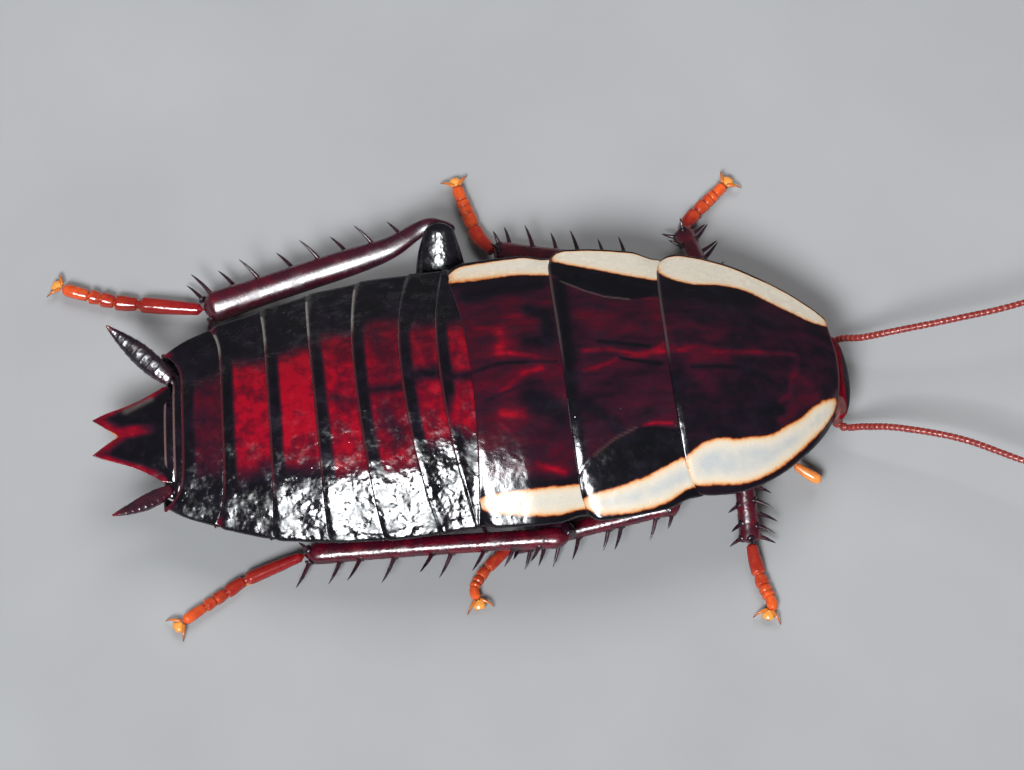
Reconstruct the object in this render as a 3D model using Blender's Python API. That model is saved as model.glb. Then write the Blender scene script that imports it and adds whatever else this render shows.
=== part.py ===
"""A late nymph of the common shining cockroach, life size, as a still model that stands on its six feet.

Sizes are in millimetres in the body's own frame: +X runs to the head, +Y to the animal's left, +Z up, the floor at
z = 0 and x = 0 at the rear edge of the thorax. An empty carries the whole model so that the middle of its footprint,
feelers included, is the world origin.
"""

import math

import bmesh
import bpy
from mathutils import Vector

MM = 0.001
GAP = 0.25  # air between two nodes that meet
FOOTPRINT_MIDDLE_X = 9.5  # middle of the overall length, from hind foot to feeler tips

# Outline of the trunk in plan: half the width at stations along x.
HALF_WIDTH = (
    (-10.2, 2.30), (-9.5, 2.97), (-8.5, 3.54), (-7.5, 3.90), (-6.0, 4.28), (-4.5, 4.57), (-3.0, 4.72),
    (-1.5, 4.70), (0.0, 4.72), (1.5, 4.85), (3.0, 4.88), (4.5, 4.86), (6.0, 4.66), (7.5, 4.43), (9.0, 4.03),
    (10.0, 3.55), (11.0, 2.84), (11.8, 2.12), (12.25, 1.55),
)
RIDGE_HEIGHT = (
    (-10.2, 2.50), (-9.5, 2.75), (-8.0, 3.25), (-6.0, 3.80), (-3.0, 4.40), (0.0, 4.70), (3.0, 4.85),
    (6.5, 4.75), (8.0, 4.55), (10.0, 3.95), (11.5, 3.20), (12.25, 2.75),
)
MARGIN_HEIGHT = (
    (-10.3, 1.75), (-9.5, 1.80), (-6.0, 2.00), (-3.0, 2.40), (0.0, 2.75), (4.0, 2.90), (7.0, 2.75),
    (9.0, 2.55), (11.0, 2.25), (12.25, 2.05),
)
BELLY_HEIGHT = ((-10.2, 1.05), (-9.0, 1.02), (-6.0, 0.95), (-1.0, 1.10), (0.5, 1.50), (9.0, 1.60), (12.25, 1.60))
SLANT = ((-10.0, 0.07), (-7.0, 0.04), (-5.0, 0.0), (-3.0, -0.02), (0.0, -0.03), (12.25, -0.03))
MARGIN_THICKNESS = 0.45
SHELL_THICKNESS = 0.50
CORE_EDGE = (0.24, 0.60)  # shares of the half width, in from the margin, between which flange turns to body
TERGITE_STEP = 0.13  # how far each plate's rear edge stands over the next plate

# Rear edges of the plates on the midline, and how far the corners lie ahead of it (+) or behind (-).
PRONOTUM_FRONT = (12.25, -0.22)
PRONOTUM_REAR = (6.50, 0.25)
MESONOTUM_REAR = (3.04, 0.12)
METANOTUM_REAR = (0.05, -0.33)
TERGITE_REARS = (
    (-0.99, 0.60), (-2.24, 0.66), (-3.76, 0.41), (-5.14, 0.07), (-6.65, -0.10), (-8.19, -0.30), (-9.51, -0.55),
)
TAIL_REAR = (-9.80, 0.0)
TAIL_HALF_WIDTH = 1.75
HEAD_SHELTER = (9.2, 9.75)  # where the prothorax ends in front and the pronotum goes on as a thin shield

SHIELD_ROWS = 20  # points across the back, from margin to margin

LEGS = {
    # hip and tip of the coxa, knee, ankle and the points that the foot's segments reach, left side positive y;
    # half widths of thigh, shin and foot; the shin's outer spines: share of its length at the first and the last,
    # how many, the angles above level that they alternate between, and how far they stand out; and the inner ones
    "front_left": dict(
        hip=(9.1, 1.9, 1.02), coxa_tip=(7.0, 1.6, 0.72), knee=(8.35, 3.75, 1.55), ankle=(7.77, 6.28, 0.52),
        foot=((7.90, 6.70, 0.26), (8.30, 7.15, 0.22), (9.05, 7.80, 0.25), (9.35, 8.08, 0.22)),
        width=(0.55, 0.38, 0.30), outer=(0.25, 0.86, 4, -5, 25, 0.80), inner=2,
    ),
    "front_right": dict(
        hip=(9.1, -1.9, 1.02), coxa_tip=(7.0, -1.6, 0.72), knee=(8.75, -2.95, 1.55), ankle=(8.79, -5.14, 0.52),
        foot=((8.90, -5.85, 0.26), (9.10, -6.60, 0.22), (9.36, -7.40, 0.25), (9.25, -7.80, 0.22)),
        width=(0.55, 0.38, 0.30), outer=(0.25, 0.86, 4, -5, 25, 0.80), inner=2,
    ),
    "mid_left": dict(
        hip=(5.7, 2.0, 1.00), coxa_tip=(3.5, 1.7, 0.70), knee=(6.35, 4.55, 1.65), ankle=(1.46, 6.15, 0.55),
        foot=((0.85, 6.95, 0.27), (0.58, 7.70, 0.23), (0.38, 8.60, 0.26), (0.28, 9.00, 0.22)),
        width=(0.62, 0.42, 0.32), outer=(0.15, 0.92, 6, -5, 25, 0.85), inner=3,
    ),
    "mid_right": dict(
        hip=(5.7, -2.0, 1.00), coxa_tip=(3.5, -1.7, 0.70), knee=(6.40, -4.00, 1.40), ankle=(0.95, -4.50, 0.46),
        foot=((0.30, -5.10, 0.27), (-0.15, -5.55, 0.23), (-0.42, -6.10, 0.26), (-0.34, -6.66, 0.22)),
        width=(0.62, 0.38, 0.30), outer=(0.06, 0.90, 8, -18, -8, 0.80), inner=0,
    ),
    "hind_left": dict(
        hip=(2.4, 2.1, 0.98), coxa_tip=(0.6, 1.7, 0.70), knee=(-0.15, 6.60, 1.75), ankle=(-8.35, 5.10, 0.58),
        foot=((-10.66, 5.58, 0.28), (-11.44, 5.78, 0.24), (-12.70, 6.25, 0.27), (-13.05, 6.45, 0.22)),
        width=(0.80, 0.44, 0.34), outer=(0.08, 0.93, 10, -5, 28, 0.90), inner=4,
    ),
    "hind_right": dict(
        hip=(2.4, -2.1, 0.98), coxa_tip=(0.6, -1.7, 0.70), knee=(2.65, -5.12, 1.95), ankle=(-5.80, -4.30, 0.58),
        foot=((-7.75, -4.75, 0.28), (-8.50, -5.15, 0.24), (-9.75, -5.90, 0.27), (-10.05, -6.10, 0.22)),
        width=(0.80, 0.44, 0.34), outer=(0.22, 0.96, 8, -12, 12, 0.90), inner=3,
    ),
}
SPINE_ROOT_RADIUS = 0.20

HEAD_TOP = (12.30, 0.0, 1.85)
HEAD_CHIN = (11.10, 0.0, 0.42)
HEAD_STATIONS = (
    (0.0, 0.60, 0.26), (0.10, 0.95, 0.48), (0.30, 1.15, 0.66), (0.55, 1.15, 0.70), (0.80, 0.92, 0.56), (1.0, 0.62, 0.34),
)
EYE_CENTRE = (11.95, 1.36, 1.48)
EYE_RADII = (0.47, 0.56, 0.52)
FEELER_RADII = (0.25, 0.17)
FEELERS = {
    "left": (
        (11.95, 0.80, 0.80), (12.42, 1.60, 0.80), (13.20, 1.72, 1.15), (14.38, 1.51, 1.60), (16.39, 1.64, 1.85),
        (18.54, 1.91, 2.00), (22.00, 2.75, 2.10), (26.00, 4.10, 2.00), (29.50, 5.60, 1.70), (32.30, 7.10, 1.35),
    ),
    "right": (
        (11.95, -0.80, 0.80), (12.25, -1.45, 0.80), (13.00, -1.75, 1.15), (14.09, -1.99, 1.50), (16.03, -2.70, 1.75),
        (18.07, -3.81, 1.90), (21.30, -5.45, 2.00), (24.80, -6.90, 1.90), (28.20, -8.10, 1.60), (31.40, -9.00, 1.30),
    ),
}
PALPS = {
    "left": ((10.95, 0.70, 0.62), (11.35, 1.45, 0.46), (11.30, 2.05, 0.46), (10.88, 2.42, 0.38)),
    "right": ((11.00, -0.75, 0.72), (10.45, -1.95, 0.85), (10.55, -2.60, 0.72), (11.24, -3.12, 0.45)),
}
CERCI = {
    "left": ((-9.75, 1.92, 1.90), (-10.75, 2.98, 1.98), (-11.69, 3.85, 2.02)),
    "right": ((-9.98, -1.98, 1.88), (-11.00, -2.46, 1.80), (-12.05, -2.85, 1.62)),
}

COLOURS = {
    # red, green, blue, roughness
    "shell": (0.035, 0.008, 0.010, 0.18),
    "abdomen": (0.110, 0.008, 0.014, 0.16),
    "leg": (0.150, 0.014, 0.020, 0.22),
    "foot": (0.560, 0.110, 0.040, 0.35),
    "feeler": (0.420, 0.110, 0.090, 0.40),
    "eye": (0.230, 0.065, 0.060, 0.35),
}


def smooth_curve(stations):
    """A smooth function through (x, value) stations."""
    xs = [station[0] for station in stations]
    values = [station[1] for station in stations]
    slopes = []
    for i in range(len(xs)):
        before, after = max(i - 1, 0), min(i + 1, len(xs) - 1)
        slopes.append((values[after] - values[before]) / (xs[after] - xs[before]))

    def value_at(x):
        x = min(max(x, xs[0]), xs[-1])
        i = min(max(j for j in range(len(xs)) if xs[j] <= x), len(xs) - 2)
        run = xs[i + 1] - xs[i]
        t = (x - xs[i]) / run
        rise = (values[i + 1] - values[i]) * (3 * t * t - 2 * t ** 3)
        start = slopes[i] * run * (t ** 3 - 2 * t * t + t)
        end = slopes[i + 1] * run * (t ** 3 - t * t)
        return values[i] + rise + start + end

    return value_at


half_width = smooth_curve(HALF_WIDTH)
ridge_height = smooth_curve(RIDGE_HEIGHT)
margin_height = smooth_curve(MARGIN_HEIGHT)
belly_height = smooth_curve(BELLY_HEIGHT)
slant = smooth_curve(SLANT)


def smoothstep(low, high, x):
    """0 at low and 1 at high, with an easy start and end; low may be the larger."""
    t = min(max((x - low) / (high - low), 0.0), 1.0)
    return t * t * (3 - 2 * t)


def material(name):
    red, green, blue, roughness = COLOURS[name]
    made = bpy.data.materials.get(name) or bpy.data.materials.new(name)
    made.use_nodes = True
    shader = made.node_tree.nodes["Principled BSDF"]
    shader.inputs["Base Color"].default_value = (red, green, blue, 1.0)
    shader.inputs["Roughness"].default_value = roughness
    shader.inputs["Metallic"].default_value = 0.0
    return made


def mesh_object(name, points, faces, finish):
    """One named object from points in millimetres, its faces turned outwards."""
    mesh = bpy.data.meshes.new(name)
    mesh.from_pydata([[c * MM for c in point] for point in points], [], faces)
    work = bmesh.new()
    work.from_mesh(mesh)
    bmesh.ops.recalc_face_normals(work, faces=work.faces)
    work.to_mesh(mesh)
    work.free()
    made = bpy.data.objects.new(name, mesh)
    made.data.materials.append(material(finish))
    made.parent = carrier
    bpy.context.scene.collection.objects.link(made)
    return made


def lofted(name, rings, finish):
    """A closed solid through rings of equally many points, its first and last ring filled."""
    count = len(rings[0])
    points = [point for ring in rings for point in ring]
    faces = [
        (r * count + k, r * count + (k + 1) % count, (r + 1) * count + (k + 1) % count, (r + 1) * count + k)
        for r in range(len(rings) - 1)
        for k in range(count)
    ]
    faces.append(tuple(reversed(range(count))))
    faces.append(tuple(range((len(rings) - 1) * count, len(rings) * count)))
    return mesh_object(name, points, faces, finish)


# The trunk

def back_height(x, v):
    """Height of the back at v, from -1 at the right margin to 1 at the left."""
    margin = margin_height(x)
    return margin + (ridge_height(x) - margin) * math.cos(v * math.pi / 2)


def under_height(x, v):
    """Height of the underside: a deep middle that carries the legs, and thin flanges at the sides."""
    top = back_height(x, v)
    flange = min(margin_height(x) - MARGIN_THICKNESS * smoothstep(0.0, 0.3, 1.05 - abs(v)), top - 0.3)
    middle = smoothstep(*CORE_EDGE, 1.0 - abs(v))
    solid = flange + (belly_height(x) - flange) * middle
    shelter = smoothstep(HEAD_SHELTER[0], HEAD_SHELTER[1], x)
    return solid + (top - SHELL_THICKNESS - solid) * shelter * smoothstep(0.0, 0.25, 1.0 - abs(v))


def trunk_ring(middle_x, bow, lift=0.0, flare=0.0, width=None):
    """One cross-section: across the back from right to left, then back along the underside."""
    wide = (width or half_width(middle_x)) + flare
    corner = 2 + 4 * smoothstep(-4.0, -7.5, middle_x)  # the rear plates bow back only at their pointed corners
    across = [math.sin(math.pi / 2 * (2 * k / SHIELD_ROWS - 1)) for k in range(SHIELD_ROWS + 1)]
    ring = []
    for v in across:
        y = v * wide
        x = middle_x + bow * abs(v) ** corner + slant(middle_x) * y
        ring.append((x, y, back_height(middle_x, v) + lift * math.cos(v * math.pi / 2) ** 0.3))
    for v in reversed(across[::2]):
        y = v * wide * 0.995
        x = middle_x + bow * abs(v) ** corner + slant(middle_x) * y
        ring.append((x, y, under_height(middle_x, v)))
    return ring


def plate_rings(front, rear, steps, lift=TERGITE_STEP, flare=0.10, width=None):
    """Cross-sections of one plate from its front edge to its rear one, which is raised and flared."""
    rings = []
    for k in range(steps + 1):
        t = k / steps
        middle_x = front[0] + (rear[0] - front[0]) * t
        bow = front[1] + (rear[1] - front[1]) * t
        rings.append(trunk_ring(middle_x, bow, lift * t * t, flare * t * t, width))
    return rings


def thorax():
    """The three plates of the thorax with the body under them, parted by thin cuts."""
    half = GAP / 2
    shield = plate_rings((PRONOTUM_REAR[0] + half, PRONOTUM_REAR[1]), PRONOTUM_FRONT, 14, 0.0, 0.0)
    lofted("pronotum", shield, "shell")
    middle = plate_rings(
        (PRONOTUM_REAR[0] - half, PRONOTUM_REAR[1]), (MESONOTUM_REAR[0] + half, MESONOTUM_REAR[1]), 6, 0.08, 0.06)
    lofted("mesonotum", middle, "shell")
    last = plate_rings(
        (MESONOTUM_REAR[0] - half, MESONOTUM_REAR[1]), (METANOTUM_REAR[0] + half, METANOTUM_REAR[1]), 6, 0.08, 0.06)
    lofted("metanotum", last, "shell")


def abdomen():
    """Seven overlapping plates and the short tail ring, each plate's rear edge standing over the next."""
    rings = []
    front = (METANOTUM_REAR[0] - GAP / 2, METANOTUM_REAR[1])
    for rear in TERGITE_REARS:
        rings += plate_rings(front, rear, 2)
        front = (rear[0] - 0.04, rear[1])
    for part in (0.0, 1.0):
        middle_x = TERGITE_REARS[-1][0] - 0.05 + (TAIL_REAR[0] - TERGITE_REARS[-1][0] + 0.05) * part
        rings.append(trunk_ring(middle_x, 0.0, -0.12, 0.0, TAIL_HALF_WIDTH))
    lofted("abdomen", rings, "abdomen")


def tail_plates():
    """The forked plate over the vent and the blunt plate below it."""
    base_x, base_half = TAIL_REAR[0] - GAP, 1.62
    fork_at, fork_tip, fork_notch, side_end = 0.40, -12.46, -11.67, -10.25
    across = [k / 10 - 1 for k in range(21)]

    def rear_x(v):
        a = abs(v)
        if a < fork_at:
            return fork_notch + (fork_tip - fork_notch) * a / fork_at
        return fork_tip + (side_end - fork_tip) * ((a - fork_at) / (1 - fork_at)) ** 1.12

    rings = []
    for t in (0.0, 0.2, 0.45, 0.7, 0.88, 1.0):
        top, under = [], []
        for v in across:
            x = base_x + (rear_x(v) - base_x) * t + slant(base_x) * v * base_half
            y = v * base_half * (1 - 0.04 * t)
            z = 2.02 + 0.42 * math.cos(v * math.pi / 2) * (1 - 0.55 * t)
            top.append((x, y, z))
            under.append((x, y, z - 0.50 + 0.22 * t ** 3))
        rings.append(top + under[::-1])
    lofted("supra_anal_plate", rings, "abdomen")

    rings = []
    for t in (0.0, 0.4, 0.75, 1.0):
        half = 1.30 * math.sqrt(1 - 0.75 * t * t)
        x = TAIL_REAR[0] - GAP - 1.25 * t
        skew = slant(base_x) * half
        ring = [(x + skew * (k / 4 - 1), half * (k / 4 - 1), 1.34) for k in range(9)]
        ring += [
            (x + skew * (1 - k / 4), half * (1 - k / 4), 0.95 + 0.14 * (k / 4 - 1) ** 2 + 0.06 * t) for k in range(9)
        ]
        rings.append(ring)
    lofted("subgenital_plate", rings, "abdomen")


# Legs, feelers and the rest of what is tubular

def tube(name, path, radii, finish, sides=8, flatten=1.0):
    """A closed tube of elliptic section along a path; each radius is its half width, flatten the share of it in height."""
    path = [Vector(point) for point in path]
    rings = []
    for i, point in enumerate(path):
        ahead = path[min(i + 1, len(path) - 1)] - path[max(i - 1, 0)]
        ahead.normalize()
        side = Vector((0, 0, 1)).cross(ahead)
        side.normalize()
        up = ahead.cross(side)
        ring = []
        for k in range(sides):
            angle = 2 * math.pi * (k + 0.5) / sides
            offset = side * math.cos(angle) * radii[i] + up * math.sin(angle) * radii[i] * flatten
            ring.append(point + offset)
        rings.append(ring)
    return lofted(name, rings, finish)


def along(start, end, shares):
    start, end = Vector(start), Vector(end)
    return [start + (end - start) * share for share in shares]


def smooth_path(points, steps):
    """A smooth curve through hand-set points, each span cut into equal steps."""
    curves = [smooth_curve([(i, point[axis]) for i, point in enumerate(points)]) for axis in range(3)]
    count = (len(points) - 1) * steps
    return [tuple(curve(k / steps) for curve in curves) for k in range(count + 1)]


def cone(name, root, tip, radius, finish, sides=4):
    """A spine: a closed cone from its sunken root to its tip."""
    root, tip = Vector(root), Vector(tip)
    ahead = (tip - root).normalized()
    side = ahead.orthogonal().normalized()
    up = ahead.cross(side)
    ring = []
    for k in range(sides):
        angle = 2 * math.pi * k / sides
        ring.append(root + side * math.cos(angle) * radius + up * math.sin(angle) * radius)
    points = ring + [tip]
    faces = [(k, (k + 1) % sides, sides) for k in range(sides)] + [tuple(reversed(range(sides)))]
    return mesh_object(name, points, faces, finish)


def applied(made):
    """Replaces an object's mesh by what its modifiers make of it."""
    graph = bpy.context.evaluated_depsgraph_get()
    mesh = bpy.data.meshes.new_from_object(made.evaluated_get(graph))
    made.modifiers.clear()
    made.data = mesh
    return made


def keep_largest(made):
    """Drops every closed surface but the largest one."""
    work = bmesh.new()
    work.from_mesh(made.data)
    left, groups = set(work.faces), []
    while left:
        stack, group = [left.pop()], []
        while stack:
            face = stack.pop()
            group.append(face)
            for edge in face.edges:
                for other in edge.link_faces:
                    if other in left:
                        left.remove(other)
                        stack.append(other)
        groups.append(group)
    groups.sort(key=lambda group: sum(face.calc_area() for face in group))
    for group in groups[:-1]:
        bmesh.ops.delete(work, geom=group, context="FACES")
    work.to_mesh(made.data)
    work.free()
    return made


def fuse(body, pieces):
    """Joins pieces to a body in one union and removes them."""
    if not pieces:
        return body
    group = bpy.data.collections.new(body.name + "_pieces")
    for piece in pieces:
        group.objects.link(piece)
    union = body.modifiers.new("join", "BOOLEAN")
    union.operation, union.operand_type, union.solver = "UNION", "COLLECTION", "MANIFOLD"
    union.collection = group
    applied(body)
    for piece in pieces:
        bpy.data.objects.remove(piece)
    bpy.data.collections.remove(group)
    return keep_largest(body)


def cut(body, cutter):
    """Takes a closed cutter out of a body and removes the cutter."""
    away = body.modifiers.new("cut", "BOOLEAN")
    away.operation, away.object, away.solver = "DIFFERENCE", cutter, "MANIFOLD"
    applied(body)
    bpy.data.objects.remove(cutter)
    return keep_largest(body)


def grown(made, by):
    """A copy of an object with its surface moved out, to cut clear of it."""
    copy = made.copy()
    copy.data = made.data.copy()
    bpy.context.scene.collection.objects.link(copy)
    normals = [vertex.normal.copy() for vertex in copy.data.vertices]
    for vertex, normal in zip(copy.data.vertices, normals):
        vertex.co += normal * by * MM
    return copy


def level_foot(made):
    """Cuts a foot flat at the floor."""
    x, y, _ = made.data.vertices[0].co / MM
    corners = [(x + i * 9, y + j * 9, k) for k in (-2.0, 0.0) for j in (-1, 1) for i in (-1, 1)]
    faces = [(0, 1, 3, 2), (4, 5, 7, 6), (0, 1, 5, 4), (2, 3, 7, 6), (0, 2, 6, 4), (1, 3, 7, 5)]
    return cut(made, mesh_object("floor_cutter", corners, faces, "foot"))


def leg(name, facts):
    """Coxa, femur, tibia with its spines, and tarsus with claws and pad, each a node of its own."""
    hip, coxa_tip, knee, ankle = (Vector(facts[key]) for key in ("hip", "coxa_tip", "knee", "ankle"))
    femur_radius, shin_radius, foot_radius = facts["width"]

    thigh = (knee - coxa_tip).normalized()
    shin = (ankle - knee).normalized()
    femur_start = coxa_tip + thigh * (GAP + 0.10)
    femur_end = knee - thigh * (shin_radius + GAP)
    femur = tube(
        "femur_" + name, along(femur_start, femur_end, (0.0, 0.12, 0.35, 0.65, 0.9, 1.0)),
        [femur_radius * share for share in (0.55, 0.78, 1.0, 0.92, 0.70, 0.56)], "leg", flatten=0.72)

    shin_radii = [shin_radius * share for share in (0.70, 1.0, 0.95, 0.92, 1.0, 0.80)]
    tibia = tube("tibia_" + name, along(knee - shin * 0.15, ankle, (0.0, 0.06, 0.3, 0.7, 0.94, 1.0)), shin_radii, "leg")
    first, last, outer, low, high, spine_length = facts["outer"]
    outward = Vector((-shin.y, shin.x, 0)).normalized()
    outward *= math.copysign(1.0, outward.dot(Vector((0.3, math.copysign(1.0, knee.y), 0))))
    upward = shin.cross(outward)
    upward *= math.copysign(1.0, upward.z)
    length = (ankle - knee).length
    spines = []

    def spine(share, lean, reach):
        direction = (outward * math.cos(lean) + upward * math.sin(lean) + shin * 0.55).normalized()
        root = knee + shin * length * share
        tip = root + direction * (shin_radius + reach)
        tip.z = max(tip.z, 0.12)
        spines.append(cone("spine", root, tip, SPINE_ROOT_RADIUS, "leg"))

    for k in range(outer):
        share = first + (last - first) * k / (outer - 1)
        spine(share, math.radians(high if k % 2 else low), spine_length * (0.9 + 0.1 * (k % 2)))
    for k in range(facts["inner"]):
        spine(0.30 + 0.60 * k / (facts["inner"] - 1), math.radians(168), spine_length * 0.6)
    cut(femur, grown(tibia, GAP))
    plain_shin = grown(tibia, GAP)
    fuse(tibia, spines)

    foot = [Vector(point) for point in facts["foot"]]
    first = ankle + (foot[0] - ankle).normalized() * 0.1
    path, radii = [first], [foot_radius * 0.72]
    for start, end, thick in zip([first] + foot, foot, (1.0, 0.92, 0.80, 0.72)):
        path += [start + (end - start) * 0.75, end]
        radii += [foot_radius * thick, foot_radius * thick * 0.78]
    tarsus = tube("tarsus_" + name, path, radii, "foot", sides=8)
    toe = (foot[3] - foot[2]).normalized()
    aside = Vector((-toe.y, toe.x, 0)).normalized()
    claws = []
    for side in (-1, 1):
        root = foot[3] - toe * 0.12 + Vector((0, 0, 0.02))
        claws.append(cone("claw", root, root + toe * 0.30 + aside * side * 0.42 - Vector((0, 0, 0.12)), 0.14, "foot"))
    pad = tube("pad", [foot[3] - toe * 0.1, foot[3] + toe * 0.12, foot[3] + toe * 0.26], (0.20, 0.27, 0.14), "foot", 8, 0.8)
    cut(level_foot(fuse(tarsus, claws + [pad])), plain_shin)

    coxa = tube(
        "coxa_" + name, along(hip + (hip - coxa_tip).normalized() * 0.45, coxa_tip, (0.0, 0.18, 0.5, 0.85, 1.0)),
        (0.45, 0.80, 0.85, 0.55, 0.34), "leg", flatten=0.42)
    cut(coxa, grown(femur, GAP))


def room_of_shield():
    """What the pronotum takes up over the head, with the air round it, to cut the head clear."""
    rings = []
    for x in (8.8, 9.2, 9.35, 9.5, 9.65, 9.8, 10.3, 10.9, 11.5, 12.0, PRONOTUM_FRONT[0] + GAP):
        inside = min(x, PRONOTUM_FRONT[0])
        reach = half_width(inside) * 1.12
        across = [k / 7 - 1 for k in range(15)]
        under = []
        for v in across:
            z = min(under_height(inside, v), under_height(inside - 1.2 * GAP, v)) - 1.6 * GAP
            under.append((x + PRONOTUM_FRONT[1] * v * v + slant(x) * v * reach, v * reach, z))
        above = [(point[0], point[1], 7.0) for point in reversed(under)]
        rings.append(under + above)
    return lofted("room", rings, "shell")


def head():
    top, chin = Vector(HEAD_TOP), Vector(HEAD_CHIN)
    down = (chin - top).normalized()
    front = Vector((0, 1, 0)).cross(down)
    rings = []
    for share, wide, deep in HEAD_STATIONS:
        centre = top + (chin - top) * share
        ring = []
        for k in range(20):
            angle = 2 * math.pi * k / 20
            ring.append(centre + Vector((0, 1, 0)) * math.cos(angle) * wide + front * math.sin(angle) * deep)
        rings.append(ring)
    skull = cut(lofted("head", rings, "shell"), room_of_shield())

    for side, sign in (("left", 1), ("right", -1)):
        centre = Vector((EYE_CENTRE[0], EYE_CENTRE[1] * sign, EYE_CENTRE[2]))
        rings = []
        for i in range(1, 8):
            polar = math.pi * i / 8
            rings.append([
                centre + Vector((
                    EYE_RADII[0] * math.sin(polar) * math.cos(2 * math.pi * k / 12),
                    EYE_RADII[1] * math.sin(polar) * math.sin(2 * math.pi * k / 12),
                    EYE_RADII[2] * math.cos(polar),
                )) for k in range(12)
            ])
        eye = lofted("eye_" + side, rings, "eye")
        cut(eye, grown(skull, GAP * 0.8))
        cut(eye, room_of_shield())

    neck = tube(
        "neck", [(11.2, 0, 1.42), (10.5, 0, 1.70), (HEAD_SHELTER[0] + 0.2, 0, 1.95)], (0.62, 0.80, 0.95), "leg", 10, 0.55)
    cut(neck, grown(skull, GAP))
    cut(neck, room_of_shield())


def feelers():
    """Each feeler in three lengths that meet end to end: its thick base, the middle and the tip."""
    for side, points in FEELERS.items():
        path = smooth_path(points, 5)
        count = len(path)
        radii = [FEELER_RADII[0] + (FEELER_RADII[1] - FEELER_RADII[0]) * k / (count - 1) for k in range(count)]
        radii[-1] = 0.08
        for label, start, end in (("base", 0, 10), ("middle", 10, 27), ("tip", 27, count - 1)):
            piece, thick = [Vector(point) for point in path[start:end + 1]], radii[start:end + 1]
            if start:
                piece[0] += (piece[2] - piece[0]).normalized() * GAP
                del piece[1], thick[1]
            length = tube("antenna_%s_%s" % (side, label), piece, thick, "feeler", sides=8)
            if not start:
                cut(length, grown(bpy.data.objects["head"], GAP * 0.8))
                cut(length, grown(bpy.data.objects["eye_" + side], GAP * 0.8))


def palps_and_cerci():
    for side, points in PALPS.items():
        path = smooth_path(points, 3)
        radii = [0.24 + 0.03 * math.sin(k * 2.1) for k in range(len(path) - 1)] + [0.16]
        palp = tube("palp_" + side, path, radii, "foot", 8)
        cut(palp, grown(bpy.data.objects["head"], GAP * 0.8))
    for side, points in CERCI.items():
        path = smooth_path(points, 4)
        radii = [0.20, 0.32, 0.40, 0.42, 0.40, 0.34, 0.26, 0.17, 0.06]
        cercus = tube("cercus_" + side, path, radii, "abdomen", 8, 0.62)
        cut(cercus, grown(bpy.data.objects["abdomen"], GAP * 0.8))


def clear_scene():
    for old in list(bpy.data.objects):
        bpy.data.objects.remove(old)


clear_scene()
carrier = bpy.data.objects.new("cockroach", None)
carrier.location = (-FOOTPRINT_MIDDLE_X * MM, 0.0, 0.0)
bpy.context.scene.collection.objects.link(carrier)
thorax()
abdomen()
tail_plates()
head()
feelers()
palps_and_cerci()
for leg_name, leg_facts in LEGS.items():
    leg(leg_name, leg_facts)
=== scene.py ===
import math

import bpy
import numpy as np
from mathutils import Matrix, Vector


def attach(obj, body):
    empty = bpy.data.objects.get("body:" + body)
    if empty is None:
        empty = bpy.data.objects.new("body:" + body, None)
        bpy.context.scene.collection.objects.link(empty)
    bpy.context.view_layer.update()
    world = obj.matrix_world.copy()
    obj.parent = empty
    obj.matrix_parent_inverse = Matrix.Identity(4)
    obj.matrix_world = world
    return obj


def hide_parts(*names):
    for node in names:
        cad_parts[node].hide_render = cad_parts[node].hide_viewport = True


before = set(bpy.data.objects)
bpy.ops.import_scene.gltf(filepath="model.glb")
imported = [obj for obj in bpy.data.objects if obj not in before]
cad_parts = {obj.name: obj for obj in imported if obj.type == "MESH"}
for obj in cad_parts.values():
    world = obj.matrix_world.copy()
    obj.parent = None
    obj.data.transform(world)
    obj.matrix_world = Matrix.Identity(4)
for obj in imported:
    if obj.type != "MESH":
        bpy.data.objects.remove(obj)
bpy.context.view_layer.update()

# Shield over the prothorax and the head
#
# One plate of tanned chitin, moulted whole, with a cream stripe of unpigmented cuticle along each side. Its
# edge is rolled over all round, and it hides the head from above.

MM = 0.001
FOOTPRINT_MIDDLE_X = 9.5  # in the animal's own frame, in millimetres

# The same outline and heights as the solids: half width and heights at stations along x.
HALF_WIDTH = (
    (-10.2, 2.30), (-9.5, 2.97), (-8.5, 3.54), (-7.5, 3.90), (-6.0, 4.28), (-4.5, 4.57), (-3.0, 4.72),
    (-1.5, 4.70), (0.0, 4.72), (1.5, 4.85), (3.0, 4.88), (4.5, 4.86), (6.0, 4.66), (7.5, 4.43), (9.0, 4.03),
    (10.0, 3.55), (11.0, 2.84), (11.8, 2.12), (12.25, 1.55),
)
RIDGE_HEIGHT = (
    (-10.2, 2.50), (-9.5, 2.75), (-8.0, 3.25), (-6.0, 3.80), (-3.0, 4.40), (0.0, 4.70), (3.0, 4.85),
    (6.5, 4.75), (8.0, 4.55), (10.0, 3.95), (11.5, 3.20), (12.25, 2.75),
)
MARGIN_HEIGHT = (
    (-10.3, 1.75), (-9.5, 1.80), (-6.0, 2.00), (-3.0, 2.40), (0.0, 2.75), (4.0, 2.90), (7.0, 2.75),
    (9.0, 2.55), (11.0, 2.25), (12.25, 2.05),
)
SLANT = ((-10.0, 0.07), (-7.0, 0.04), (-5.0, 0.0), (-3.0, -0.02), (0.0, -0.03), (12.25, -0.03))
PLATE_THICKNESS = 0.08
RIM_RADIUS = 0.11
RIM_SLOPE = math.radians(32)


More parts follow.
